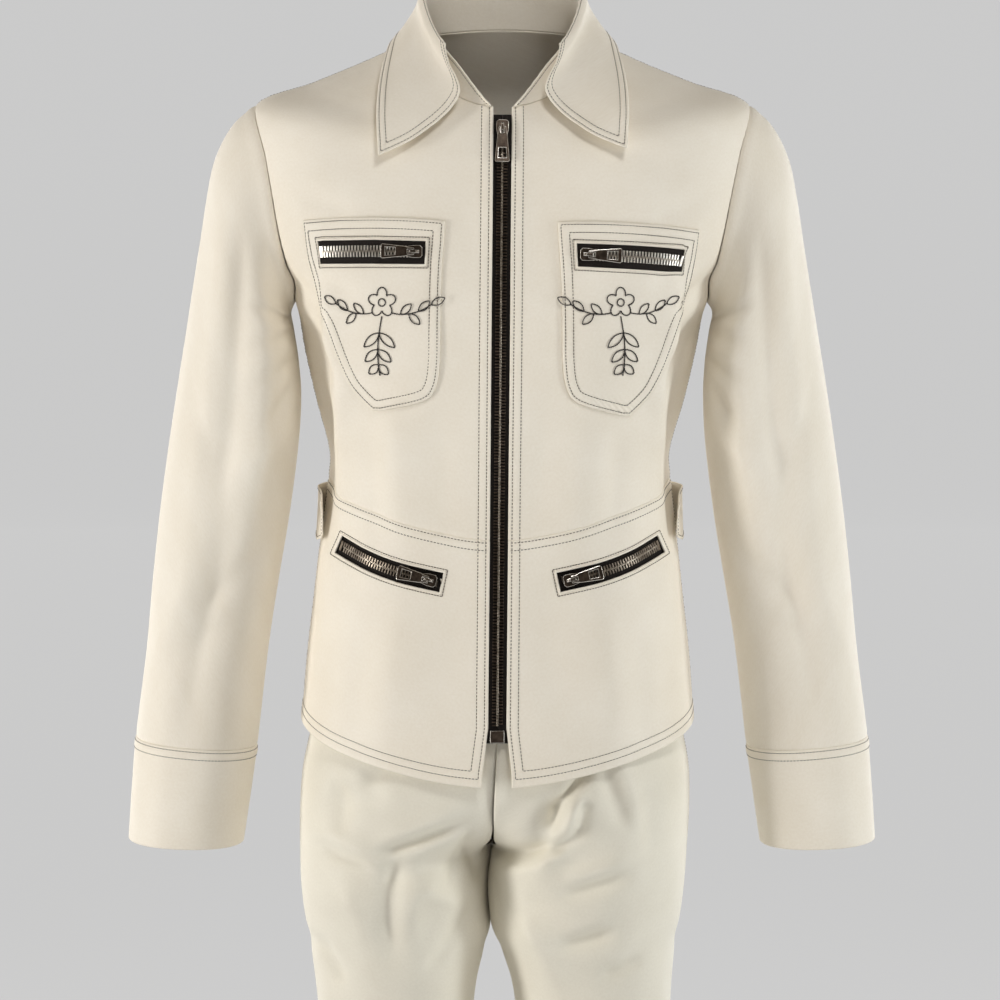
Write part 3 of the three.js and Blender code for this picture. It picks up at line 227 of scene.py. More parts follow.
LEG_CREASES = {
    "front": [
        (-98, -690, -26, -664, 5, -4.4), (-96, -678, -34, -652, 8, 2.6), (-20, -672, -8, -728, 5, -3.4),
        (-20, -674, -36, -722, 6, -2.4), (-153, -690, -104, -705, 8, -3.2),
        (-148, -676, -96, -700, 9, 1.8), (-84, -692, -88, -786, 9, -3.0), (-66, -700, -70, -780, 9, 1.8),
        (-118, -630, -84, -611, 7, -2.4), (-56, -796, -10, -748, 7, -2.6),
        (-154, -776, -136, -812, 8, -3.0), (-60, -722, -24, -742, 8, 2.2),
        (-128, -724, -106, -770, 10, 1.8), (-140, -630, -134, -676, 8, -2.2),
        (91, -604, 116, -666, 8, -3.0), (104, -608, 126, -668, 8, 2.0), (84, -612, 54, -650, 4.5, -4.4),
        (55, -646, 49, -668, 4.5, -3.6), (78, -642, 74, -674, 5, -3.2), (75, -670, 50, -691, 5, -3.6),
        (68, -640, 62, -672, 6, 3.4), (54, -682, -2, -702, 5.5, -3.6), (60, -694, 14, -716, 8, 2.2),
        (66, -728, 118, -711, 6, -3.4), (70, -714, 116, -698, 8, 2.0), (62, -776, 106, -763, 6, -3.2),
        (66, -762, 104, -750, 8, 1.8), (96, -802, 132, -791, 6, -3.0), (1, -694, 8, -752, 5, -3.0),
        (24, -730, 50, -800, 9, 1.8), (134, -636, 140, -700, 9, -2.0), (-120, -880, -80, -930, 14, -2.2),
        (64, -880, 118, -930, 14, -2.2), (-96, -1010, -60, -1060, 9, 2.0), (92, -1016, 62, -1074, 9, 2.0),
        (-60, -1120, -124, -1142, 10, -2.6), (58, -1140, 128, -1124, 10, -2.6),
        (-64, -1400, -118, -1424, 16, -2.6), (60, -1420, 118, -1400, 16, -2.6),
        (-60, -1452, -120, -1462, 12, 2.0), (62, -1458, 120, -1450, 12, 2.0),
    ],
    "back": [
        (-16, -716, -80, -736, 8, -3.2), (16, -720, 84, -744, 8, -3.2), (-22, -770, -96, -840, 10, -2.6),
        (24, -772, 98, -842, 10, -2.6), (-60, -1030, -126, -1050, 10, -2.8),
        (60, -1034, 128, -1022, 10, -2.8), (-56, -1110, -124, -1132, 11, 2.4),
        (56, -1120, 124, -1100, 11, 2.4), (-64, -1404, -118, -1430, 15, -2.6),
        (60, -1424, 118, -1404, 15, -2.6), (-30, -690, -110, -704, 10, 2.2),
        (30, -694, 112, -710, 10, 2.2),
    ],
}
# Sleeve folds: round the sleeve (0 outer, 0.25 front, 0.5 inner, 0.75 back) and along it by tenths of a ring.
ARM_FOLDS = [
    (0.1, 0.32, 0.2, 0.88, 0.055, -3.4), (0.36, 0.46, 0.3, 0.9, 0.05, 2.6),
    (0.4, 0.68, 0.18, 0.86, 0.05, -2.6), (0.44, 0.86, 0.22, 0.98, 0.05, -2.2),
    (0.3, 0.96, 0.22, 1.18, 0.06, -2.4), (0.66, 0.42, 0.74, 0.84, 0.06, -3.4),
    (0.6, 0.82, 0.86, 0.93, 0.05, -2.8), (0.88, 0.34, 0.86, 1.16, 0.06, 2.2),
]
ARM_CREASES = [
    (0.245, 0.26, 0.25, 0.9, 0.034, -4.6), (0.335, 0.34, 0.33, 0.92, 0.028, 2.4),
    (0.16, 0.3, 0.17, 0.86, 0.03, 1.8), (0.5, 0.3, 0.3, 0.42, 0.022, -3.0),
    (0.47, 0.4, 0.31, 0.56, 0.024, -2.4), (0.46, 0.56, 0.28, 0.7, 0.024, -2.4),
    (0.42, 0.78, 0.26, 0.84, 0.02, 2.0), (0.4, 0.94, 0.22, 1.04, 0.022, -2.4),
    (0.36, 1.04, 0.16, 1.1, 0.02, -1.9), (0.2, 0.98, 0.1, 1.12, 0.024, 1.6),
    (0.6, 0.34, 0.72, 0.48, 0.024, -2.8), (0.58, 0.5, 0.74, 0.66, 0.024, -2.4),
    (0.62, 0.76, 0.84, 0.84, 0.022, 2.1), (0.6, 0.9, 0.8, 1.0, 0.022, -2.4),
    (0.28, 0.9, 0.22, 1.18, 0.03, -2.2), (0.12, 0.7, 0.2, 0.82, 0.02, -1.6),
    (0.44, 0.66, 0.34, 0.76, 0.018, -2.0),
]
CREASE_POWER = 1.45  # a crease has a sharper crest than a fold, whose power is 2
# How deep the folds and the creases are taken.
BODY_DEPTHS, LEG_DEPTHS, ARM_DEPTHS = (1.0, 1.7), (1.3, 2.3), (1.2, 1.6)
ROUND_CREST = 0.2  # how much of a fold's width its rounded crest takes
SIDE_FADE = 30


def bell(value, middle, width, power=2):
    """1 at the middle, falling off with its width on both sides."""
    return np.exp(-(((value - middle) / width) ** power))


def fold_sum(folds, p, q, power=2.0):
    """The lift of all folds at p, q: each is its depth times exp(-(distance / width)^power) across its
    line, with a rounded crest, fading at both ends with the fourth power of the distance from its middle."""
    total = np.zeros(np.broadcast(p, q).shape)
    for p0, q0, p1, q1, width, depth in folds:
        dp, dq = p1 - p0, q1 - q0
        along = ((p - p0) * dp + (q - q0) * dq) / (dp * dp + dq * dq)
        across = np.abs((p - p0) * dq - (q - q0) * dp) / math.hypot(dp, dq)
        aside = np.sqrt((across / width) ** 2 + ROUND_CREST**2) - ROUND_CREST
        total += depth * np.exp(-np.minimum(np.abs(2 * along - 1) ** 4, 60) - np.minimum(aside**power, 60))
    return total


def face_folds(folds, creases, depths, x, y, z):
    """Folds and creases of the front where y is in front and of the back behind, fading out at the sides."""
    total = 0
    for table, depth, power in ((folds, depths[0], 2.0), (creases, depths[1], CREASE_POWER)):
        ahead, behind = (fold_sum(table[face], x, z, power) for face in ("front", "back"))
        total = total + depth * np.where(y < 0, ahead, behind)
    return total * np.minimum(1, np.abs(y) / SIDE_FADE)


def slack(x, z, size):
    """The slight unevenness of worn cloth: four crossing slow waves of different lengths."""
    return size * (np.sin(x / 23 + 1.7 * np.sin(z / 61)) + np.sin(z / 37 + x / 71 + 2.1)
                   + 0.7 * np.sin(x / 13 - z / 29 + 0.6) + 0.5 * np.sin(z / 17 + x / 19 + 4.0)) / 3


# ---------------------------------------------------------------- surfaces of the suit


def lean(z):
    """The middle of the suit moves a little to the wearer's right on the way down."""
    return LEAN_TOP + (LEAN_BOTTOM - LEAN_TOP) * np.clip((-60 - z) / 640, 0, 1)


def xyz(x, y, z):
    return np.stack(np.broadcast_arrays(x, y, z), -1)


def torso(angle, row):
    """A point of the jacket body: a rounded-square ring, drooping from the sides to the middle, moved in
    or out by the folds. The angle is 0 at the centre front and grows towards the wearer's left."""
    side, ahead = np.sin(angle), np.cos(angle)
    depth = np.where(ahead > 0, body("front_depth", row), body("back_depth", row))
    n = body("squareness", row)
    reach = (np.abs(side / body("half_width", row)) ** n + np.abs(ahead / depth) ** n) ** (-1 / n)
    side_z = body("side_z", row)
    middle_z = np.where(ahead > 0, body("front_z", row), body("back_z", row))
    z = side_z + (middle_z - side_z) * np.abs(ahead) ** CENTRE_DROP
    x, y = reach * side, -reach * ahead
    out = reach + face_folds(BODY_FOLDS, BODY_CREASES, BODY_DEPTHS, x, y, z) + slack(x + 0.4 * y, z, 0.6)
    return xyz(out * side + lean(z), -out * ahead, z)


def direction(vectors):
    return vectors / np.maximum(np.linalg.norm(vectors, axis=-1, keepdims=True), 1e-9)


def surface_normal(surface, u, v):
    """The direction out of a surface, from its differences along both of its parameters."""
    across = surface(u + 0.01, v) - surface(u - 0.01, v)
    up = surface(u, v + 0.02) - surface(u, v - 0.02)
    return direction(np.cross(across, up))


def torso_out(angle, row, out):
    return torso(angle, row) + surface_normal(torso, angle, row) * np.asarray(out)[..., None]


CHEST_DEPTH, CHEST_HALF = 110, 185  # for the first guess
NEWTON_STEPS, SMALLEST_SIZE = 14, 50


def on_front(x, z):
    """The angle and row of the front's point that shows at x, z: Newton's steps on the two differences."""
    x, z = np.broadcast_arrays(np.asarray(x, float), np.asarray(z, float))
    rows = np.linspace(0, NECK_ROW, 300)
    drop = np.cos(np.arctan2(np.abs(x), CHEST_DEPTH)) ** CENTRE_DROP
    angle = np.arcsin(np.clip((x - lean(z)) / CHEST_HALF, -0.97, 0.97))
    ahead, beside = (np.interp(z, body(name, rows), rows) for name in ("front_z", "side_z"))
    row = ahead * drop + beside * (1 - drop)
    for _ in range(NEWTON_STEPS):
        here = torso(angle, row)
        by_angle = (torso(angle + 1e-3, row) - here) / 1e-3
        by_row = (torso(angle, row + 1e-3) - here) / 1e-3
        gap_x, gap_z = x - here[..., 0], z - here[..., 2]
        size = by_angle[..., 0] * by_row[..., 2] - by_row[..., 0] * by_angle[..., 2]
        size = np.where(np.abs(size) < SMALLEST_SIZE, SMALLEST_SIZE, size)
        turn = (gap_x * by_row[..., 2] - by_row[..., 0] * gap_z) / size
        rise = (by_angle[..., 0] * gap_z - gap_x * by_angle[..., 2]) / size
        angle = angle + np.clip(turn, -0.2, 0.2)
        row = np.clip(row + np.clip(rise, -0.8, 0.8), 0, NECK_ROW)
    return angle, row


def front_point(x, z, out=0.0):
    """The point over the front that shows at x, z, lifted off the cloth by out."""
    return torso_out(*on_front(x, z), out)


def front_line(x, z, out):
    """The points over the front that show at x, z, and the directions out of the cloth there."""
    angle, row = on_front(x, z)
    return torso_out(angle, row, out), surface_normal(torso, angle, row)


def armhole_bite(row):
    along = (row - ARMPIT_ROW) / (SHOULDER_ROW - ARMPIT_ROW)
    inside = np.clip(1 - np.abs(2 * np.clip(along, 0, 1) - 1) ** ARMHOLE_SQUARENESS, 0, 1)
    return inside ** (1 / ARMHOLE_SQUARENESS)


def column_angle(face, row, share, start):
    """The angle of a panel's column: at share 1 it is the side seam, the armhole or the shoulder seam."""
    bite = armhole_bite(row)
    return start + (SIDE - start) * share - ARMHOLE_CUT[face] * share * bite ** (1 + 3 * (1 - share))


def front_edge_angle(row):
    """The front's edge: straight beside the zip, then parting towards the hem."""
    parting = np.clip((ZIP_BOTTOM_Z + 12 - body("front_z", row)) / 40, 0, 1)
    half = ZIP_OPENING_HALF + (HEM_OPENING_HALF - ZIP_OPENING_HALF) * parting
    return np.arctan2(half, body("front_depth", row))


def seam_angle(row):
    return SEAM_GAP / 2 / body("half_width", row)


def front_panel(side, low, high):
    """A front between two rows, from its zip edge (p = 0) to the side or armhole (p = 1)."""
    def surface(p, q):
        row = low + (high - low) * q
        angle = column_angle("front", row, p, front_edge_angle(row)) - seam_angle(row) * p
        return torso(side * angle, row)
    return surface


def back_panel(low, high):
    """The back between two rows, from the wearer's left (p = 0) to the right (p = 1)."""
    def surface(p, q):
        row = low + (high - low) * q
        share = 2 * p - 1
        angle = column_angle("back", row, np.abs(share), 0) - seam_angle(row) * np.abs(share)
        return torso(math.pi + np.sign(share) * angle, row)
    return surface


def armhole(turn, side):
    """The armhole seam as a loop: from the shoulder tip down the front and up the back."""
    turn = np.mod(turn, 1)
    t = np.where(turn <= 0.5, 2 * turn, 2 - 2 * turn)
    row = SHOULDER_ROW + (ARMPIT_ROW - SHOULDER_ROW) * (1 - np.cos(math.pi * t)) / 2
    front = column_angle("front", row, 1.0, 0)
    back = math.pi - column_angle("back", row, 1.0, 0)
    return torso(side * np.where(turn <= 0.5, front, back), row)


def sleeve_ring(turn, ring, side):
    """A ring of a sleeve: a rounded square between its inner and outer points, moved by the folds."""
    turn, ring = np.broadcast_arrays(turn, ring)
    c, s = np.cos(2 * math.pi * turn), np.sin(2 * math.pi * turn)
    n = arm("squareness", ring)
    size = (np.abs(c) ** n + np.abs(s) ** n) ** (-1 / n)
    inner = xyz(arm("inner_x", ring), arm("centre_y", ring), arm("inner_z", ring))
    outer = xyz(arm("outer_x", ring), arm("centre_y", ring), arm("outer_z", ring))
    middle = (inner + outer) / 2
    spoke = (outer - middle) * (c * size)[..., None]
    spoke[..., 1] -= arm("half_depth", ring) * s * size
    wrapped = np.mod(turn, 1)
    lift = ARM_DEPTHS[0] * fold_sum(ARM_FOLDS, wrapped, ring / 10)
    lift = lift + ARM_DEPTHS[1] * fold_sum(ARM_CREASES, wrapped, ring / 10, CREASE_POWER)
    seam_fade = np.sin(math.pi * np.clip(wrapped, 0, 1)) ** 0.3
    lift = lift + slack(wrapped * 400, ring * 55 + 90 * side, 0.45) * seam_fade
    point = middle + spoke + direction(spoke) * lift[..., None]
    point[..., 0] = point[..., 0] * side + SLEEVE_SHIFT
    return point


def sleeve(side, low, high):
    """A sleeve between two rings. Near the armhole it eases from the oval rings to the armhole's loop."""
    def surface(p, q):
        ring = low + (high - low) * q
        fade = np.clip(1 - ring / ARMHOLE_FADE_RINGS, 0, 1) ** 2
        slip = armhole(p, side) - sleeve_ring(p, np.zeros_like(p), side)
        return sleeve_ring(p, ring, side) + slip * fade[..., None]
    return surface


def trouser_point(angle, row, side):
    """A point of one trouser half. The angle is 0 at the outer seam and grows towards the front. Under
    the fork both legs bend to the same side, most of all in the middle, and what parts them is closed."""
    c, s = np.cos(angle), np.sin(angle)
    n = leg("squareness", row)
    depth = np.where(s > 0, leg("front_depth", row), leg("back_depth", row))
    reach = (np.abs(c / leg("half_width", row)) ** n + np.abs(s / depth) ** n) ** (-1 / n)
    z, centre = leg("z", row), leg("centre_x", row)
    x, y = side * (centre + reach * c), -reach * s
    lift = face_folds(LEG_FOLDS, LEG_CREASES, LEG_DEPTHS, x, y, z) + slack(x + 0.5 * y, z * 0.8, 0.8)
    inner = (1 - c) / 2
    touching = bell(z, FORK_Z, TOUCH_REACH) * inner**12
    out = reach + lift * (1 - touching)
    shift = lean(z) + THIGH_SHIFT * bell(z, THIGH_Z, THIGH_REACH)
    shift = shift + GAP_SHIFT * bell(z, GAP_Z, GAP_REACH) * inner
    bend = TOUCH_BEND * touching * bell(y, 0, TOUCH_DEPTH)
    apart = np.maximum(0, centre - leg("half_width", row) - SEAM_GAP)
    closed = np.clip((z - CLOSED_BOTTOM) / 20, 0, 1) * np.clip((CLOSED_TOP - z) / 6, 0, 1)
    bend = bend - side * apart * closed * inner**2
    return xyz(side * (centre + out * c) + shift + bend, -out * s, z)


def trouser_panel(face, side):
    """A trouser front or back from the outer seam (p = 0) to the crotch seam and inner seam (p = 1)."""
    away = 1 if face == "front" else -1

    def surface(p, q):
        row = TROUSER_HEM_ROW * (1 - q)
        width, n = leg("half_width", row), leg("squareness", row)
        across = -np.minimum(leg("centre_x", row) - SEAM_GAP / 1.5, width)
        depth = leg(face + "_depth", row)
        ahead = depth * np.maximum(0, 1 - (np.abs(across) / width) ** n) ** (1 / n)
        gap = np.where(row < FORK_ROW, math.pi - np.abs(np.arctan2(ahead, across)), 0.002)
        angle = p * (math.pi - SIDE * (gap / SIDE) ** (1 + 3 * (1 - p)))
        return trouser_point(away * np.maximum(0.0012, angle), row, side)
    return surface


# ---------------------------------------------------------------- cutting a surface into cloth


def stations(length, step, start=(), end=()):
    """Mesh lines across a panel, as pairs (share, offset) of a distance share * width + offset. They
    bunch up by the sewn lines near both edges and spread evenly between."""
    def near(lines):
        marks = {0.0, 1.1}
        for line in lines:
            marks |= {round(line + d, 3) for d in (-1.5, -0.75, 0.0, 0.75, 1.5)}
        marks = sorted(m for m in marks if m >= 0)
        return [m for k, m in enumerate(marks) if k == 0 or m - marks[k - 1] > 0.3]
    first, last = near(start), near(end)
    margin_0, margin_1 = first[-1], last[-1]
    count = max(2, round((length - margin_0 - margin_1) / step))
    shares = np.linspace(0, 1, count + 1)[1:-1]
    pairs = [(0.0, m) for m in first]
    pairs += [(s, margin_0 - s * (margin_0 + margin_1)) for s in shares]
    pairs += [(1.0, -m) for m in reversed(last)]
    return np.array(pairs)


def even(length, step):
    count = max(3, round(length / step))
    return np.stack([np.arange(count) / count, np.zeros(count)], 1)


def run_length(points, axis):
    """Distance along a grid of points from its first line."""
    steps = np.linalg.norm(np.diff(points, axis=axis), axis=-1)
    zero = np.zeros_like(np.take(steps, [0], axis=axis))
    return np.concatenate([zero, np.cumsum(steps, axis=axis)], axis=axis)


class Cloth:
    """A piece of cloth as a grid: its points, its outward directions and each point's distance from
    the four edges, so that seams and stitches can be laid at a true distance from an edge."""

    def __init__(self, surface, across, along, closed=False, dense=170):
        self.closed = closed
        p, q = np.meshgrid(np.linspace(0, 1, dense), np.linspace(0, 1, dense))
        width_run = run_length(surface(p, q), 1)
        width = width_run[:, -1]
        want = across[None, :, 0] * width[:, None] + across[None, :, 1]
        column = np.stack([np.interp(want[i], width_run[i], p[i]) for i in range(dense)])
        levels = np.repeat(q[:, :1], column.shape[1], 1)
        length_run = run_length(surface(column, levels), 0)
        length = length_run[-1]
        down = along[:, None, 0] * length[None, :] + along[:, None, 1]
        count = column.shape[1]
        rows = np.stack([np.interp(down[:, j], length_run[:, j], q[:, 0]) for j in range(count)], 1)

        def follow(values):
            return np.stack([np.interp(rows[:, j], q[:, 0], values[:, j]) for j in range(count)], 1)

        self.p, self.q = follow(column), rows
        self.points = surface(self.p, self.q)
        self.left, self.right = follow(want), follow(width[:, None] - want)
        self.bottom, self.top = down, length[None, :] - down
        self.size = (float(width.mean()), float(length.mean()))
        self.keep = np.ones((self.points.shape[0] - 1, count if closed else count - 1), bool)
        self.find_normals()

    @classmethod
    def on_chest(cls, points, left, bottom, keep, size):
        """A cloth from a grid of points on the front, whose distances from its edges are given."""
        cloth = cls.__new__(cls)
        cloth.closed, cloth.points, cloth.keep, cloth.size = False, points, keep, size
        cloth.left, cloth.bottom = left, bottom
        cloth.find_normals()
        if np.sum(cloth.normals[..., 1]) > 0:
            cloth.normals = -cloth.normals
        return cloth

    def find_normals(self):
        """Directions: the cross product of the differences along both ways of the grid."""
        self.normals = grid_normals(self.points, self.closed)

    def face_away_from(self, centre):
        """Turns the directions so that they point away from the given centre."""
        if np.sum(self.normals * (self.points - centre), -1).mean() < 0:
            self.normals = -self.normals

    def lift(self, amount):
        """Moves each point out by its own amount, and finds the directions again."""
        before = self.normals
        self.points = self.points + before * np.asarray(amount)[..., None]
        fresh = grid_normals(self.points, self.closed)
        flip = np.sign(np.sum(fresh * before, -1, keepdims=True))
        self.normals = fresh * np.where(flip == 0, 1, flip)

    def area(self):
        return grid_area(self.points, self.closed)


def grid_normals(points, closed):
    if closed:
        around = np.concatenate([points[:, -1:], points, points[:, :1]], 1)
        across = around[:, 2:] - around[:, :-2]
    else:
        across = np.gradient(points, axis=1)
    return direction(np.cross(across, np.gradient(points, axis=0)))


def grid_area(points, closed):
    """The area of a grid of points, as the sum of its cells."""
    if closed:
        points = np.concatenate([points, points[:, :1]], 1)
    a = points[1:, :-1] - points[:-1, :-1]
    b = points[:-1, 1:] - points[:-1, :-1]
    return float(np.linalg.norm(np.cross(a, b), axis=-1).sum()) * MM * MM


def groove(distance, line, depth=0.4, width=0.9):
    return -depth * bell(distance, line, width)


def sewn_edge(distance, along, lines, height=0.55, pucker=0.22, seed=0.0):
    """The relief of a turned or felled edge: a low flat band out to the last sewn line, a groove under
    each line, and small uneven puckers along it."""
    if not lines:
        return np.zeros_like(distance)
    last = max(lines)
    band = height / (1 + np.exp(np.clip((distance - last - 0.8) / 0.45, -30, 30)))
    relief = band + sum(groove(distance, line) for line in lines)
    wave = np.sin(along / 1.55 + seed + 1.3 * np.sin(along / 17 + seed))
    wave = wave * (0.6 + 0.4 * np.sin(along / 41 + 2 * seed))
    return relief + pucker * wave * bell(distance, sum(lines) / len(lines), 0.6 * last + 2.5)


def seam_dip(distance, depth=0.9, width=1.6):
    """The cloth turns in towards a seam."""
    return -depth * bell(distance, 0, width, 1.5)


# ---------------------------------------------------------------- meshes


def make_object(name, vertices, faces, uv=None, smooth=True):
    """A mesh object from points in millimetres and lists of faces of the same length each."""
    mesh = bpy.data.meshes.new(name)
    faces = [np.asarray(f, np.int64) for f in faces if len(f)]
    sizes = np.concatenate([np.full(len(f), f.shape[1]) for f in faces])
    corners = np.concatenate([f.ravel() for f in faces])
    mesh.vertices.add(len(vertices))
    mesh.vertices.foreach_set("co", (np.asarray(vertices, float) * MM).ravel())
    mesh.loops.add(len(corners))
    mesh.loops.foreach_set("vertex_index", corners.astype(np.int32))
    mesh.polygons.add(len(sizes))
    mesh.polygons.foreach_set("loop_start", np.concatenate([[0], np.cumsum(sizes)[:-1]]).astype(np.int32))
    mesh.polygons.foreach_set("loop_total", sizes.astype(np.int32))
    mesh.polygons.foreach_set("use_smooth", np.full(len(sizes), smooth))
    if uv is not None:
        layer = mesh.uv_layers.new(name="cloth")
        layer.data.foreach_set("uv", (np.asarray(uv, float) * MM)[corners].ravel())
    mesh.update(calc_edges=True)
    mesh.validate()
    obj = bpy.data.objects.new(name, mesh)
    bpy.context.scene.collection.objects.link(obj)
    return obj


RIM_BULGE = 0.45  # how far the rim's middle stands outside the edge, as a share of the thickness


def shell_arrays(cloth, thickness):
    """A thin closed wall under a grid of cloth: the face, its lining moved in by the thickness, and
    along every open edge a rounded rim whose middle stands a little outside the edge."""
    rows, columns = cloth.points.shape[:2]
    total = rows * columns
    outer = cloth.points.reshape(-1, 3)
    normals = cloth.normals.reshape(-1, 3)
    i, j = np.nonzero(cloth.keep)
    after = (j + 1) % columns
    here, next_row = i * columns, (i + 1) * columns
    quads = np.stack([here + j, here + after, next_row + after, next_row + j], 1)
    a, b, d = outer[quads[:, 0]], outer[quads[:, 1]], outer[quads[:, 3]]
    if np.sum(np.cross(b - a, d - a) * normals[quads[:, 0]]) < 0:
        quads = quads[:, ::-1]
    starts = quads.ravel()
    ends = np.roll(quads, -1, 1).ravel()
    key, back_key = starts * total + ends, ends * total + starts
    rim = ~np.isin(key, back_key)
    start, end = starts[rim], ends[rim]
    along = direction(outer[end] - outer[start])
    outward = np.cross(along, normals[start])
    push = np.zeros((total, 3))
    np.add.at(push, start, outward)
    np.add.at(push, end, outward)
    used = np.unique(np.concatenate([start, end]))
    place = np.full(total, -1)
    place[used] = 2 * total + np.arange(len(used))
    middle = outer[used] - normals[used] * thickness / 2 + direction(push[used]) * RIM_BULGE * thickness
    vertices = np.concatenate([outer, outer - normals * thickness, middle])
    faces = np.concatenate([
        quads, quads[:, ::-1] + total,
        np.stack([end, start, place[start], place[end]], 1),
        np.stack([place[end], place[start], start + total, end + total], 1),
    ])
    uv = np.stack([cloth.left, cloth.bottom], -1).reshape(-1, 2)
    uv = np.concatenate([uv, uv, uv[used]])
    alive = np.unique(faces)
    renumber = np.full(len(vertices), -1)
    renumber[alive] = np.arange(len(alive))
    return vertices[alive], renumber[faces], uv[alive]


def dress(obj, material, node=None):
    """Gives an object its material, the body that it rides on and the node that it replaces."""
    obj.data.materials.append(material)
    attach(obj, "suit")
    if node:
        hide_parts(node)
    return obj


def declare_sheet(obj, width, length, area, digits, **held):
    """Rounds the size that a cloth was cut to, in metres, and keeps nothing; its area is not used."""
    width, length = round(width, digits), round(length, digits)


def build_cloth(node, cloth, slot="jacket_cloth", thickness=JACKET_CLOTH, held="hung", rests=(), extra=None):
    """Makes the object of a grid of cloth, with a turned lip if it has one, and works out the size of its
    cut.
    """
    parts = [shell_arrays(cloth, thickness)] + ([extra] if extra else [])
    counts = np.cumsum([0] + [len(v) for v, _, _ in parts])
    faces = np.concatenate([f + count for (_, f, _), count in zip(parts, counts)])
    obj = make_object(node + "_cloth", np.concatenate([v for v, _, _ in parts]), [faces],
                      np.concatenate([uv for _, _, uv in parts]))
    dress(obj, COTTON[slot], node)
    area = cloth.area()
    width, length = (size * MM for size in cloth.size)
    if area > width * length:
        grow = math.sqrt(area / (width * length)) * 1.002
        width, length = width * grow, length * grow
    declare_sheet(obj, width, length, area, 3, held=held, rests_on=list(rests))


# ---------------------------------------------------------------- stitches
STITCH_PITCH = 3.0
STITCH_LENGTH = 2.45
THREAD = 0.4
threads = {}


def read_line(at, run, data):
    """A line's values at distances along it."""
    return np.stack([np.interp(at, run, data[:, k]) for k in range(data.shape[1])], 1)


def places(at, run, points, normals, before, after):
    """The point at each distance along a line, the way along it and the way out, square to each other."""
    along = direction(read_line(at + after, run, points) - read_line(at - before, run, points))
    out = direction(read_line(at, run, normals))
    return read_line(at, run, points), along, direction(out - along * np.sum(out * along, -1, keepdims=True))


def sew(group, points, normals, pitch=STITCH_PITCH):
    """Adds a row of stitches along a line of points to a group of thread."""
    run = run_length(points, 0)
    count = int(run[-1] / pitch)
    if count:
        at = (np.arange(count) + 0.5) * run[-1] / count
        threads.setdefault(group, []).append(places(at, run, points, normals, 0.8, 0.8))


def repeated(template, faces, frames, scale=None):
    """Copies of a small form, one on each place: template points are along, across and out."""
    mid, along, out = (np.concatenate(k) for k in zip(*frames))
    across = np.cross(out, along)
    shape = np.asarray(template, float)
    sized = shape[None] if scale is None else shape[None] * scale
    points = (mid[:, None] + along[:, None] * sized[..., 0:1] + across[:, None] * sized[..., 1:2]
              + out[:, None] * sized[..., 2:3])
    count = len(shape)
    shift = (np.arange(len(mid)) * count)[:, None, None]
    return points.reshape(-1, 3), [(np.asarray(f)[None] + shift).reshape(-1, len(f[0])) for f in faces]


def stitch_form():
    """One stitch: a rounded thread that dips into the cloth at both ends."""
    sides = 5
    rings = [(-0.37, 0.8, 0.02), (0, 1.0, 0.2), (0.37, 0.8, 0.02)]
    points = [(-0.5 * STITCH_LENGTH, 0, -0.16)]
    for along, wide, high in rings:
        for k in range(sides):
            turn = 2 * math.pi * (k + 0.5) / sides
            across, up = wide * THREAD * math.cos(turn), wide * THREAD * math.sin(turn)
            points.append((along * STITCH_LENGTH, across, high + up * 0.8))
    points.append((0.5 * STITCH_LENGTH, 0, -0.16))

    def ring(r, k):
        return 1 + r * sides + k % sides

    quads = [(ring(r, k), ring(r + 1, k), ring(r + 1, k + 1), ring(r, k + 1))
             for r in (0, 1) for k in range(sides)]
    ends = [(0, ring(0, k), ring(0, k + 1)) for k in range(sides)]
    ends += [(len(points) - 1, ring(2, k + 1), ring(2, k)) for k in range(sides)]
    return points, [quads, ends]


def sew_line(group, cloth, edge, distance, low=-math.inf, high=-math.inf):
    """A row of stitches at a distance from one edge of a cloth. low and high cut its ends off, as
    distances from the other edges."""
    field = getattr(cloth, edge)
    if edge in ("left", "right"):
        j = int(np.argmin(np.abs(field[field.shape[0] // 2] - distance)))
        points, normals = cloth.points[:, j], cloth.normals[:, j]
        start, end = cloth.bottom[:, j], cloth.top[:, j]
    else:
        i = int(np.argmin(np.abs(field[:, field.shape[1] // 2] - distance)))
        points, normals = cloth.points[i], cloth.normals[i]
        start, end = cloth.left[i], cloth.right[i]
        if cloth.closed:
            points, normals = np.concatenate([points, points[:1]]), np.concatenate([normals, normals[:1]])
            start = end = np.full(len(points), 1e6)
    used = (start >= low - 0.05) & (end >= high - 0.05)
    if used.sum() > 1:
        sew(group, points[used], normals[used])


# ---------------------------------------------------------------- materials


def linear(rgb):
    """Display colour (0 to 255) to the light it stands for."""
    c = np.array(rgb, float) / 255
    return tuple(np.where(c <= 0.04045, c / 12.92, ((c + 0.055) / 1.055) ** 2.4)) + (1.0,)


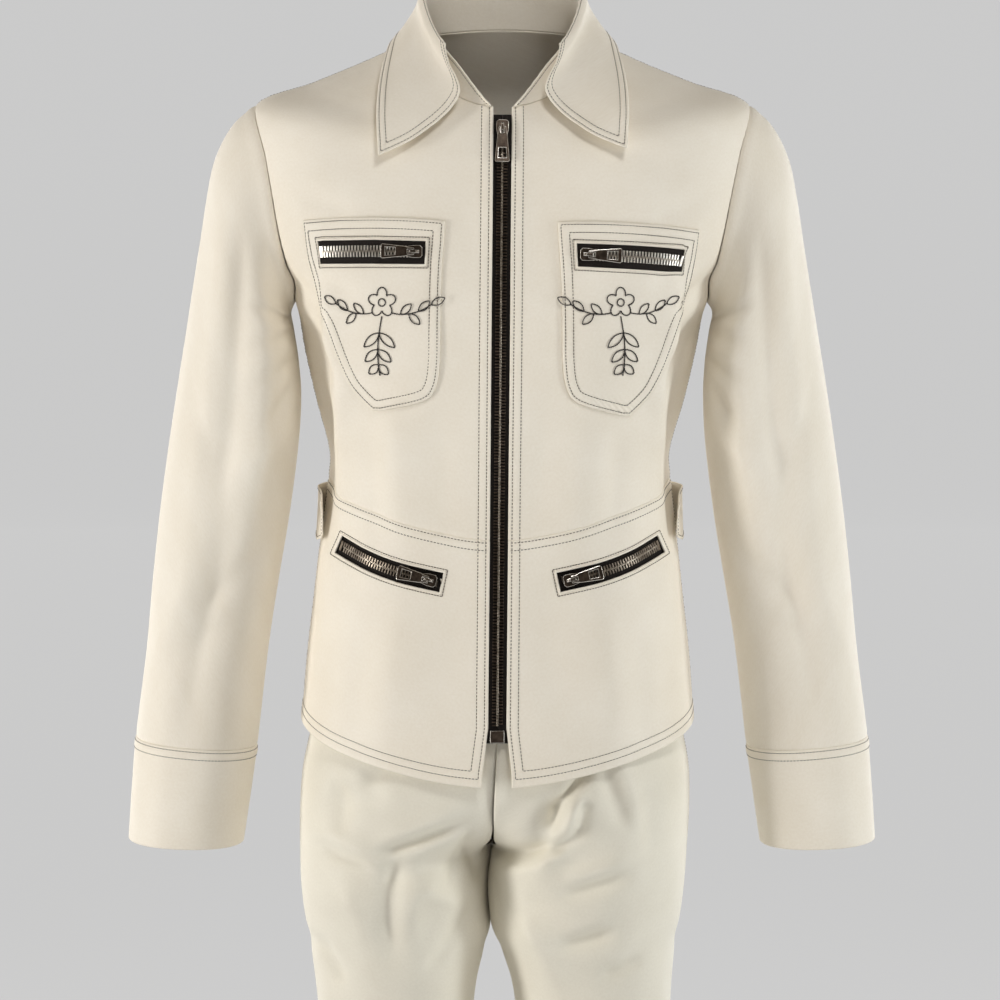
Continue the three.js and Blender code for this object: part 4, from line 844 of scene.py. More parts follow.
class Nodes:
    """A small helper to write a material's nodes in order."""

    def __init__(self, name):
        self.material = bpy.data.materials.new(name)
        self.material.use_nodes = True
        self.tree = self.material.node_tree
        self.tree.nodes.clear()
        self.out = self.tree.nodes.new("ShaderNodeOutputMaterial")
        self.shader = self.tree.nodes.new("ShaderNodeBsdfPrincipled")
        self.link(self.shader.outputs[0], self.out.inputs["Surface"])

    def new(self, kind, values=None, **settings):
        node = self.tree.nodes.new(kind)
        for key, value in settings.items():
            setattr(node, key, value)
        for key, value in (values or {}).items():
            if hasattr(value, "links") or isinstance(value, bpy.types.NodeSocket):
                self.link(value, node.inputs[key])
            else:
                node.inputs[key].default_value = value
        return node

    def link(self, start, end):
        self.tree.links.new(start, end)

    def drive(self, name, socket):
        self.link(socket, self.shader.inputs[name])

    def set(self, **values):
        for key, value in values.items():
            self.shader.inputs[key.replace("_", " ")].default_value = value

    def place(self, uv):
        if uv:
            return self.new("ShaderNodeUVMap", uv_map="cloth").outputs[0]
        return self.new("ShaderNodeTexCoord").outputs["Object"]

    def noise(self, where, scale, detail=2.0, rough=0.5):
        values = {"Vector": where, "Scale": scale, "Detail": detail, "Roughness": rough}
        return self.new("ShaderNodeTexNoise", values).outputs["Fac"]

    def ribs(self, where, size, ways, **more):
        """Waves that stand a given size apart."""
        values = {"Vector": where, "Scale": 2 * math.pi / (20 * size), **more}
        return self.new("ShaderNodeTexWave", values, wave_type="BANDS", bands_direction=ways).outputs["Fac"]

    def mapped(self, where, **values):
        return self.new("ShaderNodeMapping", {"Vector": where, **values}).outputs[0]

    def ramp(self, fac, stops):
        node = self.new("ShaderNodeValToRGB", {"Fac": fac})
        ramp = node.color_ramp
        while len(ramp.elements) < len(stops):
            ramp.elements.new(0.5)
        for element, (at, colour) in zip(ramp.elements, stops):
            element.position, element.color = at, colour
        return node.outputs["Color"]

    def math(self, operation, a, b):
        return self.new("ShaderNodeMath", {0: a, 1: b}, operation=operation).outputs[0]

    def mix(self, fac, a, b):
        node = self.new("ShaderNodeMix", data_type="RGBA")
        for socket, value in ((node.inputs[0], fac), (node.inputs[6], a), (node.inputs[7], b)):
            if isinstance(value, bpy.types.NodeSocket):
                self.link(value, socket)
            else:
                socket.default_value = value
        return node.outputs[2]

    def bump(self, height, strength, distance, before=None):
        node = self.new("ShaderNodeBump", {"Height": height, "Strength": strength, "Distance": distance})
        if before is not None:
            self.link(before, node.inputs["Normal"])
        return node.outputs[0]


def cotton(name, pale, deep):
    """Stiff cotton twill: fine slanting ribs, uneven slubs and a soft change of tone over the cloth."""
    n = Nodes(name)
    where = n.place(True)
    turned = n.mapped(where, Rotation=(0, 0, math.radians(52)))
    ribs = n.ribs(turned, 0.0007, "X", Distortion=1.2, Detail=1.0)
    slub = n.noise(n.mapped(where, Scale=(1.0, 0.22, 1.0)), 900, 3.0, 0.6)
    cloud = n.noise(where, 14, 3.0, 0.55)
    grain = n.noise(where, 420, 2.0, 0.5)
    tone = n.math("ADD", n.math("MULTIPLY", cloud, 0.6), n.math("MULTIPLY", grain, 0.4))
    colour = n.ramp(tone, [(0.34, linear(deep)), (0.66, linear(pale))])
    palest = linear([min(255, c + 8) for c in pale])
    n.drive("Base Color", n.mix(n.math("MULTIPLY", slub, 0.12), colour, palest))
    n.drive("Roughness", n.math("ADD", n.math("MULTIPLY", grain, 0.12), 0.56))
    height = n.math("ADD", n.math("MULTIPLY", ribs, 0.6), n.math("MULTIPLY", slub, 0.6))
    fine = n.bump(height, 0.35, 0.00018)
    n.drive("Normal", n.bump(n.noise(where, 60, 3.0, 0.5), 0.25, 0.0012, fine))
    n.set(Sheen_Weight=0.1, Sheen_Roughness=0.5, Specular_IOR_Level=0.38)
    return n.material


def tape_material(name):
    """Black woven tape: close ribs across it and a matt, slightly dusty face."""
    n = Nodes(name)
    where = n.place(True)
    ribs = n.ribs(where, 0.0009, "Y", Distortion=0.4)
    grain = n.noise(where, 700, 2.0)
    n.drive("Base Color", n.ramp(grain, [(0.3, linear((17, 13, 11))), (0.75, linear((40, 33, 28)))]))
    n.drive("Normal", n.bump(n.math("ADD", ribs, n.math("MULTIPLY", grain, 0.5)), 0.7, 0.0003))
    n.set(Roughness=0.85, Sheen_Weight=0.05, Specular_IOR_Level=0.25)
    return n.material


def metal_material(name, dark, bright, rough=0.34):
    """Antique metal: a dark patina with brighter rubbed patches, finely scratched."""
    n = Nodes(name)
    where = n.place(False)
    patina = n.noise(where, 240, 2.0, 0.5)
    scratch = n.noise(n.mapped(where, Scale=(1, 1, 9)), 1500, 2.0)
    n.drive("Base Color", n.ramp(patina, [(0.35, linear(dark)), (0.72, linear(bright))]))
    n.drive("Roughness", n.math("ADD", n.math("MULTIPLY", scratch, 0.25), rough - 0.1))
    n.drive("Normal", n.bump(n.math("ADD", scratch, n.math("MULTIPLY", patina, 0.6)), 0.25, 0.00012))
    n.set(Metallic=1.0)
    return n.material


def thread_material(name, deep, pale):
    """Twisted thread: fine slanting ply marks along each stitch and a slow change of tone."""
    n = Nodes(name)
    where = n.place(False)
    n.drive("Base Color", n.ramp(n.noise(where, 160, 2.0), [(0.3, linear(deep)), (0.7, linear(pale))]))
    n.drive("Normal", n.bump(n.ribs(where, 0.0005, "DIAGONAL", Distortion=1.0), 0.5, 0.00012))
    n.set(Roughness=0.7, Sheen_Weight=0.1)
    return n.material


def horn_material(name):
    """Cream horn button: clouded layers under a soft polish."""
    n = Nodes(name)
    cloud = n.noise(n.mapped(n.place(False), Scale=(1, 1, 2.5)), 130, 4.0, 0.6)
    n.drive("Base Color", n.ramp(cloud, [(0.3, linear((150, 128, 96))), (0.7, linear((224, 211, 184)))]))
    n.drive("Roughness", n.math("ADD", n.math("MULTIPLY", cloud, 0.2), 0.22))
    n.drive("Normal", n.bump(cloud, 0.15, 0.0002))
    n.set(Coat_Weight=0.2, Coat_Roughness=0.2)
    return n.material


COTTON = {
    "jacket_cloth": cotton("jacket_twill", (244, 237, 223), (236, 227, 210)),
    "trouser_cloth": cotton("trouser_twill", (235, 230, 215), (226, 220, 204)),
}
TAPE = tape_material("zip_tape_weave")
METAL = metal_material("zip_antique_metal", (62, 54, 47), (92, 80, 70))
METAL_WORN = metal_material("zip_worn_metal", (104, 94, 84), (158, 146, 132))
# Brighter metal for the beads down a zip's middle: a painted highlight along the teeth's meeting heads.
METAL_PAINTED_HIGHLIGHT = metal_material("zip_painted_highlight_metal", (148, 138, 124), (196, 186, 172), 0.3)
METAL_SILVER = metal_material("zip_silver_metal", (205, 198, 188), (240, 235, 226), 0.28)
THREAD_DARK = thread_material("thread_brown_grey", (60, 52, 44), (92, 82, 70))
THREAD_BLACK = thread_material("thread_black", (26, 22, 20), (48, 42, 38))
HORN = horn_material("button_horn")

# ---------------------------------------------------------------- jacket body
EDGE_LINES = (2.6, 9.4)  # rows of stitches beside the zip
WAIST_LINES = (2.0, 8.6)
HEM_LINES = (6.6, 13.2)
SEAM_LINES = (2.2,)


def finish_panel(cloth, left=(), right=(), bottom=(), top=(), seams=(), seed=0.0):
    """Adds the relief of the sewn edges and seams of a panel."""
    relief = np.zeros_like(cloth.left)
    for edge, lines, along in (("left", left, cloth.bottom), ("right", right, cloth.bottom),
                               ("bottom", bottom, cloth.left), ("top", top, cloth.left)):
        relief = relief + sewn_edge(getattr(cloth, edge), along, lines, seed=seed + len(edge))
    for edge in seams:
        relief = relief + seam_dip(getattr(cloth, edge))
    cloth.lift(relief)


upper_fronts, lower_fronts = {}, {}
BODY_CENTRE = np.array([0.0, 0.0, -320.0])
for side in (RIGHT, LEFT):
    surface = front_panel(side, WAIST_ROW + ROW_GAP, NECK_ROW)
    cloth = Cloth(surface, stations(190, FINE + 0.6, EDGE_LINES, SEAM_LINES), stations(400, FINE + 1))
    cloth.face_away_from(BODY_CENTRE)
    finish_panel(cloth, left=EDGE_LINES, right=SEAM_LINES, seams=("right", "bottom"), seed=side)
    upper_fronts[side] = cloth
    surface = front_panel(side, 0, WAIST_ROW - ROW_GAP)
    cloth = Cloth(surface, stations(195, FINE + 0.6, EDGE_LINES, SEAM_LINES),
                  stations(215, FINE + 0.6, HEM_LINES, WAIST_LINES))
    cloth.face_away_from(BODY_CENTRE)
    lower_fronts[side] = cloth

# ---- the slanting zips of the lower fronts


def curve_through(points):
    """A smooth curve through points with centripetal knots, read by the share of its length or of its
    points."""
    pts = np.array(points, float)
    ends = np.concatenate([[2 * pts[0] - pts[1]], pts, [2 * pts[-1] - pts[-2]]])

    def by_point(t):
        at = np.clip(np.asarray(t, float), 0, 1) * (len(pts) - 1)
        i = np.minimum(at.astype(int), len(pts) - 2)
        u = (at - i)[..., None]
        p0, p1, p2, p3 = (ends[i + k] for k in range(4))
        d0, d1, d2 = (np.sqrt(np.linalg.norm(b - a, axis=-1, keepdims=True))
                      for a, b in ((p0, p1), (p1, p2), (p2, p3)))
        m1 = ((p1 - p0) / d0 - (p2 - p0) / (d0 + d1) + (p2 - p1) / d1) * d1
        m2 = ((p2 - p1) / d1 - (p3 - p1) / (d1 + d2) + (p3 - p2) / d2) * d1
        return p1 + m1 * u + (3 * (p2 - p1) - 2 * m1 - m2) * u**2 + (2 * (p1 - p2) + m1 + m2) * u**3

    dense = np.linspace(0, 1, 2001)
    run = run_length(by_point(dense), 0)

    def by_length(share):
        return by_point(np.interp(np.clip(share, 0, 1) * run[-1], run, dense))

    return by_length, by_point, float(run[-1])


hip_line, _, HIP_LENGTH = curve_through([(50, -453), (92, -444), (118, -435.5), (142, -425)])
HIP_WINDOW_HALF = 9.0
SNAP = 1.9  # mesh points this near to a window's edge move onto it


def hip_xz(along, across, side):
    """The place beside a slanting zip: along it from its inner end and across it, in the front view."""
    share = np.asarray(along, float) / HIP_LENGTH
    inside = np.clip(share, 0, 1)
    at = hip_line(inside)
    way = direction(hip_line(inside + 0.002) - hip_line(inside - 0.002))
    beyond = ((share - inside) * HIP_LENGTH)[..., None]
    at = at + way * beyond + np.stack([-way[..., 1], way[..., 0]], -1) * np.asarray(across, float)[..., None]
    return side * at[..., 0], at[..., 1]


def hip_coordinates(x, z, side):
    """Distance along and across a slanting zip of points of the front view."""
    line_at = np.linspace(-0.12, 1.12, 500) * HIP_LENGTH
    lx, lz = hip_xz(line_at, np.zeros_like(line_at), side)
    gap = (x[..., None] - lx) ** 2 + (z[..., None] - lz) ** 2
    k = np.clip(np.argmin(gap, -1), 1, len(line_at) - 2)
    wx, wz = lx[k + 1] - lx[k - 1], lz[k + 1] - lz[k - 1]
    size = np.hypot(wx, wz)
    dx, dz = x - lx[k], z - lz[k]
    along = line_at[k] + (dx * wx + dz * wz) / size
    return along, side * (-dx * wz + dz * wx) / size


for side in (RIGHT, LEFT):
    cloth = lower_fronts[side]
    x, z = cloth.points[..., 0], cloth.points[..., 2]
    along, across = hip_coordinates(x, z, side)
    half = HIP_WINDOW_HALF
    at_end = np.where(np.abs(along - HIP_LENGTH) < SNAP, HIP_LENGTH, along)
    new_along = np.where(np.abs(along) < SNAP, 0, at_end)
    new_across = np.where(np.abs(np.abs(across) - half) < SNAP, np.sign(across) * half, across)
    close = (along > -SNAP) & (along < HIP_LENGTH + SNAP) & (np.abs(across) < half + SNAP)
    moved = close & ((new_along != along) | (new_across != across))
    mx, mz = hip_xz(new_along[moved], new_across[moved], side)
    cloth.points[moved] = front_point(mx, mz)
    along[moved], across[moved] = new_along[moved], new_across[moved]
    inside = (along > -0.01) & (along < HIP_LENGTH + 0.01) & (np.abs(across) < half + 0.01)
    cell = inside[:-1, :-1] & inside[1:, :-1] & inside[:-1, 1:] & inside[1:, 1:]
    cloth.keep &= ~cell
    cloth.find_normals()
    cloth.face_away_from(BODY_CENTRE)
    finish_panel(cloth, left=EDGE_LINES, right=SEAM_LINES, bottom=HEM_LINES, top=WAIST_LINES,
                 seams=("right", "top"), seed=2 + side)


def counter_clockwise(corners):
    corners = np.array(corners, float)
    after = np.roll(corners, -1, 0)
    area = np.sum(corners[:, 0] * after[:, 1] - corners[:, 1] * after[:, 0])
    return corners if area > 0 else corners[::-1]


PATH_STEP, SIDE_STEP = 1.6, 1.2


def ring_path(corners):
    """A closed line through sharp corners, as points in the plane, run against the clock."""
    corners = counter_clockwise(corners)
    pieces = []
    for a, b in zip(corners, np.roll(corners, -1, 0)):
        count = max(1, round(float(np.linalg.norm(b - a)) / PATH_STEP))
        pieces.append(a + (b - a) * (np.arange(count) / count)[:, None])
    return np.concatenate(pieces)


def offset_loop(loop, distance):
    """A closed plane line moved outwards by a distance, with mitred corners: each point moves along the
    sum of its two normals over 1 + their dot product."""
    before = direction(loop - np.roll(loop, 1, 0))
    after = direction(np.roll(loop, -1, 0) - loop)
    way = (before + after) / (1 + np.sum(before * after, -1, keepdims=True))
    return loop + np.stack([way[:, 1], -way[:, 0]], 1) * distance


def sides_of(corners, distance):
    """The sides of a polygon moved outwards, each as a line of its own, so that its corners stay sharp."""
    moved = offset_loop(counter_clockwise(corners), distance)
    lines = []
    for a, b in zip(moved, np.roll(moved, -1, 0)):
        count = max(2, int(np.linalg.norm(b - a) / SIDE_STEP))
        lines.append(a + (b - a) * np.linspace(0, 1, count)[:, None])
    return lines


def lip(loop, place, width, height, sink):
    """A turned lip of cloth round a window: a rounded bead swept along the window's edge. place puts a
    point of the plane, and its height, on the cloth."""
    profile = [(-0.5, -sink), (-0.55, height * 0.35), (-0.25, height * 0.85), (width * 0.35, height),
               (width * 0.75, height * 0.75), (width, 0.1), (width, -sink)]
    rings = [place(offset_loop(loop, d), h) for d, h in profile]
    points = np.stack(rings, 1)
    count, sides = points.shape[:2]
    i, k = np.meshgrid(np.arange(count), np.arange(sides), indexing="ij")
    here, after, above = i * sides, (i + 1) % count * sides, (k + 1) % sides
    faces = np.stack([here + k, after + k, after + above, here + above], -1).reshape(-1, 4)
    flat = points.reshape(-1, 3)
    volume = np.sum(flat[faces[:, 0]] * np.cross(flat[faces[:, 1]], flat[faces[:, 2]]))
    volume += np.sum(flat[faces[:, 0]] * np.cross(flat[faces[:, 2]], flat[faces[:, 3]]))
    if volume < 0:
        faces = faces[:, ::-1]
    run = np.repeat(np.arange(count) * PATH_STEP, sides)
    return flat, faces, np.stack([run, np.tile(np.arange(sides) * 0.8, count)], 1)


def hip_place_on(side):
    def place(loop, height):
        x, z = hip_xz(loop[:, 0], loop[:, 1], side)
        return front_point(x, z, np.full(len(x), height))
    return place


LIP_WIDTH = 1.5
FRAME_ROW = 2.6  # the stitches round a window, from its edge
FRAME_PITCH = 2.5
hip_lips = {}
for side in (RIGHT, LEFT):
    half = HIP_WINDOW_HALF
    corners = [(0, -half), (HIP_LENGTH, -half), (HIP_LENGTH, half), (0, half)]
    hip_lips[side] = lip(ring_path(corners), hip_place_on(side), LIP_WIDTH, 0.7, 1.2)
    for line in sides_of(corners, FRAME_ROW):
        sew("fronts", *front_line(*hip_xz(line[:, 0], line[:, 1], side), 0.1), FRAME_PITCH)

for side in (RIGHT, LEFT):
    name = NAMES[side]
    upper, lower = upper_fronts[side], lower_fronts[side]
    build_cloth(f"front_upper_{name}", upper)
    build_cloth(f"front_lower_{name}", lower, extra=hip_lips[side])
    for edge_line, hem_line in zip(EDGE_LINES, HEM_LINES):
        sew_line("fronts", upper, "left", edge_line)
        sew_line("fronts", lower, "left", edge_line, low=hem_line)
        sew_line("fronts", lower, "bottom", hem_line, low=edge_line, high=1.5)
    for d in WAIST_LINES:
        sew_line("fronts", lower, "top", d, low=1.0, high=1.5)

back_upper = Cloth(back_panel(WAIST_ROW + ROW_GAP, NECK_ROW),
                   stations(420, GRID + 0.6, SEAM_LINES, SEAM_LINES), stations(400, GRID))
back_upper.face_away_from(BODY_CENTRE)
finish_panel(back_upper, left=SEAM_LINES, right=SEAM_LINES, seams=("left", "right", "bottom"), seed=4.0)
back_lower = Cloth(back_panel(0, WAIST_ROW - ROW_GAP),
                   stations(430, GRID + 0.6, SEAM_LINES, SEAM_LINES),
                   stations(200, GRID, HEM_LINES, WAIST_LINES))
back_lower.face_away_from(BODY_CENTRE)
finish_panel(back_lower, left=SEAM_LINES, right=SEAM_LINES, bottom=HEM_LINES, top=WAIST_LINES,
             seams=("left", "right", "top"), seed=5.0)
build_cloth("back_upper", back_upper)
build_cloth("back_lower", back_lower)
for d in WAIST_LINES:
    sew_line("back", back_lower, "top", d, low=1.5, high=1.5)
for d in HEM_LINES:
    sew_line("back", back_lower, "bottom", d, low=1.5, high=1.5)
for edge in ("left", "right"):
    sew_line("back", back_upper, edge, SEAM_LINES[0])
    sew_line("back", back_lower, edge, SEAM_LINES[0])

# ---------------------------------------------------------------- sleeves and cuffs
CUFF_LINES = (2.2, 8.8)
for side in (RIGHT, LEFT):
    name = NAMES[side]
    surface = sleeve(side, 0.02, CUFF_RING - 0.003)
    upper = Cloth(surface, even(420, 5.0), stations(640, 4.6, (1.6,)), closed=True)
    upper.face_away_from(upper.points.mean(1, keepdims=True))
    upper.lift(seam_dip(upper.bottom, 1.3, 2.2) + seam_dip(upper.top, 0.8)
               + 0.8 * bell(upper.bottom, 6, 4))
    build_cloth(f"sleeve_{name}", upper)
    cuff = Cloth(sleeve(side, CUFF_RING + 0.003, CUFF_HEM_RING), even(360, 4.4),
                 stations(88, 4.0, CUFF_LINES), closed=True)
    cuff.face_away_from(cuff.points.mean(1, keepdims=True))
    cuff.lift(sewn_edge(cuff.bottom, cuff.left, CUFF_LINES, 0.7, 0.3, seed=side) + seam_dip(cuff.bottom))
    build_cloth(f"cuff_{name}", cuff)
    for d in CUFF_LINES:
        sew_line("sleeves", cuff, "bottom", d)

# ---------------------------------------------------------------- collar
fold_curve, _, _ = curve_through([
    (11, -86, -44), (22, -81, -30), (37, -71, -9), (51, -57, 8), (59, -42, 22), (65, -24, 39), (67, -4, 52),
    (60, 34, 62), (33, 58, 66), (0, 65, 67)])
LEAF_START = 0.265
_, front_curve, _ = curve_through([
    tuple(fold_curve(LEAF_START)), (37, -82, -40), (70, -100, -70), (105, -107, -86)])
edge_curve, _, _ = curve_through([
    (105, -107, -86), (107, -92, -54), (106, -72, -28), (101.5, -42, -1), (97.5, -14, 12), (90, 22, 18),
    (76, 52, 20), (44, 77, 21), (0, 86, 21)])
LEAF_LIFT, LEAF_BULGE = 4.2, 2.5
LEAF_CORNER = 1 / 3  # where the roll ends on the leaf's front edge, and the straight edge begins
CORNER_PUSH = (-3.2, -2.0, 3.6)  # the corner there is sharp: it stands out from the smooth edge


def stand_surface(p, q):
    """The stand, from the wearer's right front (p = 0) round the back to the left front: straight from
    the neck seam to just under the fold."""
    side = np.where(p < 0.5, RIGHT, LEFT)
    along = np.where(p < 0.5, 2 * p, 2 - 2 * p)
    top = fold_curve(along)
    top[..., 0] = top[..., 0] * side + LEAN_TOP
    start = math.atan2(ZIP_OPENING_HALF + 1.5, float(body("front_depth", NECK_ROW)))
    neck = torso(side * (start + (math.pi - start) * along), np.full_like(p, NECK_ROW)) + [0, 0, 2 * SEAM_GAP]
    return neck + (top - neck) * (q * 0.95)[..., None]


def leaf_half(along, fall, side):
    """A point of the leaf: between the fold and the outer edge, bulging as it rolls over the fold."""
    fold = fold_curve(LEAF_START + (1 - LEAF_START) * along)
    outward = fold + [0, 12, 0]
    outward[..., 2] = 0
    outward = direction(outward)
    fold = fold + outward * (LEAF_LIFT * np.minimum(1, 0.2 + fall * 6))[..., None] + [0, 0, 3.2]
    straight = front_curve(0 * fall) * (1 - fall)[..., None] + front_curve(0 * fall + 1) * fall[..., None]
    front = front_curve(fall) - straight
    p = fold + (edge_curve(along) - fold) * fall[..., None] + front * ((1 - along) ** 3)[..., None]
    roll = np.sin(math.pi * np.sqrt(fall)) * (1 - fall)
    p = p + outward * (LEAF_BULGE * roll)[..., None]
    p[..., 2] += LEAF_BULGE * 0.5 * roll + np.where(side == LEFT, 6, 0) * fall * (1 - along) ** 4
    sharp = np.maximum(0, 1 - np.abs(fall - LEAF_CORNER) / 0.2) * np.exp(-along / 0.045)
    p = p + sharp[..., None] * CORNER_PUSH
    p[..., 0] = p[..., 0] * side + LEAN_TOP
    return p


def leaf_surface(p, q):
    side = np.where(p < 0.5, RIGHT, LEFT)
    return leaf_half(np.where(p < 0.5, 2 * p, 2 - 2 * p), q, side)


COLLAR_LINES = (1.9, 7.4)
STAND_LINES = (2.0,)
stand = Cloth(stand_surface, stations(430, 4.0, STAND_LINES, STAND_LINES), stations(50, 3.4, (), STAND_LINES),
              dense=240)
stand.face_away_from(np.array([LEAN_TOP, -12.0, 20.0]))
finish_panel(stand, left=STAND_LINES, right=STAND_LINES, top=STAND_LINES, seed=1.0)
build_cloth("collar_stand", stand, held="folded")
for edge, low, high in (("left", 3, 1), ("right", 3, 1), ("top", 2, 2)):
    sew_line("collar", stand, edge, STAND_LINES[0], low=low, high=high)

leaf = Cloth(leaf_surface, stations(460, 3.0, COLLAR_LINES, COLLAR_LINES),
             stations(70, 2.6, STAND_LINES, COLLAR_LINES), dense=300)
leaf.face_away_from(np.array([LEAN_TOP, -12.0, -60.0]))
finish_panel(leaf, left=COLLAR_LINES, right=COLLAR_LINES, bottom=STAND_LINES, top=COLLAR_LINES, seed=3.0)
build_cloth("collar_leaf", leaf, held="folded")
for d in COLLAR_LINES:
    for edge, low in (("left", 2), ("right", 2), ("top", d)):
        sew_line("collar", leaf, edge, d, low=low, high=d)
sew_line("collar", leaf, "bottom", STAND_LINES[0], low=2, high=2)

# ---------------------------------------------------------------- chest pockets
pocket = table("z inner_x outer_x", [
    [-142.5, 49.5, 170], [-159.5, 50.5, 168], [-179.5, 52, 165], [-205, 53, 158], [-235, 53.5, 150.5],
    [-262, 54, 141], [-283, 57.5, 131], [-295, 68, 121], [-304.5, 104, 111]])
POCKET_TIP_ROW = 8
POCKET_ARCH = 3
POCKET_SLOPE = {LEFT: 0.06, RIGHT: 0}
POCKET_LEVEL = {LEFT: -1, RIGHT: 0}
POCKET_MIDDLE = {LEFT: 0, RIGHT: LEAN_TOP}
POCKET_OUT = 2.8
POCKET_SIZE = (116.0, 165.0)
POCKET_CLOTH = 1.15
SPRIG_Z, SPRIG_SIZE = -214.0, 0.98
WINDOW_SHARES = (0.12, 0.91)
WINDOW_ROWS = (1.0, 2.0)
POCKET_LINES = (2.2, 9.0)


def pocket_xz(row, share, side):
    """A place on a pocket in the front view, by its row and the share of its width."""
    x = pocket("inner_x", row) + (pocket("outer_x", row) - pocket("inner_x", row)) * share
    arch = POCKET_ARCH * 4 * share * (1 - share) * np.maximum(0, 1 - row / 2.5)
    z = pocket("z", row) + arch + POCKET_LEVEL[side] - POCKET_SLOPE[side] * (x - 50)
    return side * x + POCKET_MIDDLE[side], z


# Distances on the pocket are taken on the cloth laid flat: a level line of the chest gives the length
# from the centre front for each x.
CHEST_ROW = 6.6
level_line = torso(np.linspace(0, SIDE, 400), np.full(400, CHEST_ROW))
LEVEL_X = np.abs(level_line[:, 0] - LEAN_TOP)
LEVEL_RUN = run_length(level_line[:, :2], 0)


def flat_x(x):
    return np.sign(x - LEAN_TOP) * np.interp(np.abs(x - LEAN_TOP), LEVEL_X, LEVEL_RUN)


def unflat_x(s):
    return np.sign(s) * np.interp(np.abs(s), LEVEL_RUN, LEVEL_X) + LEAN_TOP


def segment_distance(points, loop):
    """The distance of plane points from a closed line."""
    best = np.full(points.shape[:-1], 1e9)
    for start, end in zip(loop, np.roll(loop, -1, 0)):
        d = end - start
        t = np.clip(((points - start) @ d) / max(d @ d, 1e-9), 0, 1)
        best = np.minimum(best, np.linalg.norm(points - (start + t[..., None] * d), axis=-1))
    return best


def inner_row(loop, distance):
    """The line at a distance inside a closed line, with its corners kept sharp."""
    moved = offset_loop(loop, -distance)
    clear = segment_distance(moved, loop) > distance - 0.12
    return moved[clear]


def sew_on_front(group, flat_points, out, pitch=STITCH_PITCH):
    """Stitches along a line given on the chest laid flat."""
    sew(group, *front_line(unflat_x(flat_points[:, 0]), flat_points[:, 1], out), pitch)


def leaf_lines(base, way, length, bow):
    """A leaf: two arcs from its base to its point, each length * s along and bow * sin(pi s)^0.8 aside."""
    over = np.array([-way[1], way[0]])
    s = np.linspace(0, 1, 22)[:, None]
    return [base + way * length * s + over * hand * bow * np.sin(math.pi * s) ** 0.8 for hand in (-1, 1)]


def spray(side):
    """A plain sprig of embroidery: a five-petalled flower, a stem with three pairs of leaves below it and
    a leafy branch on each side. A branch is the bow (36 s, 17 s^2 - 9 s), and a flower is a rose curve."""
    lines = []
    s = np.linspace(0, 1, 40)
    stem = np.stack([4 * np.sin(2.6 * s), -9 - 52 * s], 1)
    lines.append(stem)
    for at, length in ((0.3, 19), (0.58, 16), (0.84, 12)):
        base = stem[int(at * 39)]
        for hand in (-1, 1):
            lines += leaf_lines(base, np.array([hand * 0.76, -0.65]), length, 3.6)
    for hand in (-1, 1):
        branch = np.stack([hand * (9 + 36 * s), -6 + 17 * s**2 - 9 * s], 1)
        lines.append(branch)
        for at, rise in ((0.25, 1), (0.45, -1), (0.68, 1), (0.99, 1)):
            way = direction(np.array([hand * 0.8, 0.75 * rise if at < 0.9 else 0.4]))
            lines += leaf_lines(branch[int(at * 39)], way, 13, 3.0)
    turn = np.linspace(0, 2 * math.pi, 160)
    petal = 7.4 + 5.6 * np.abs(np.cos(2.5 * turn))
    lines.append(np.stack([petal * np.sin(turn), petal * np.cos(turn) + 3], 1))
    lines.append(np.stack([3.2 * np.sin(turn), 3.2 * np.cos(turn) + 3], 1))
    return [np.stack([line[:, 0] * side, line[:, 1]], 1) * SPRIG_SIZE for line in lines]


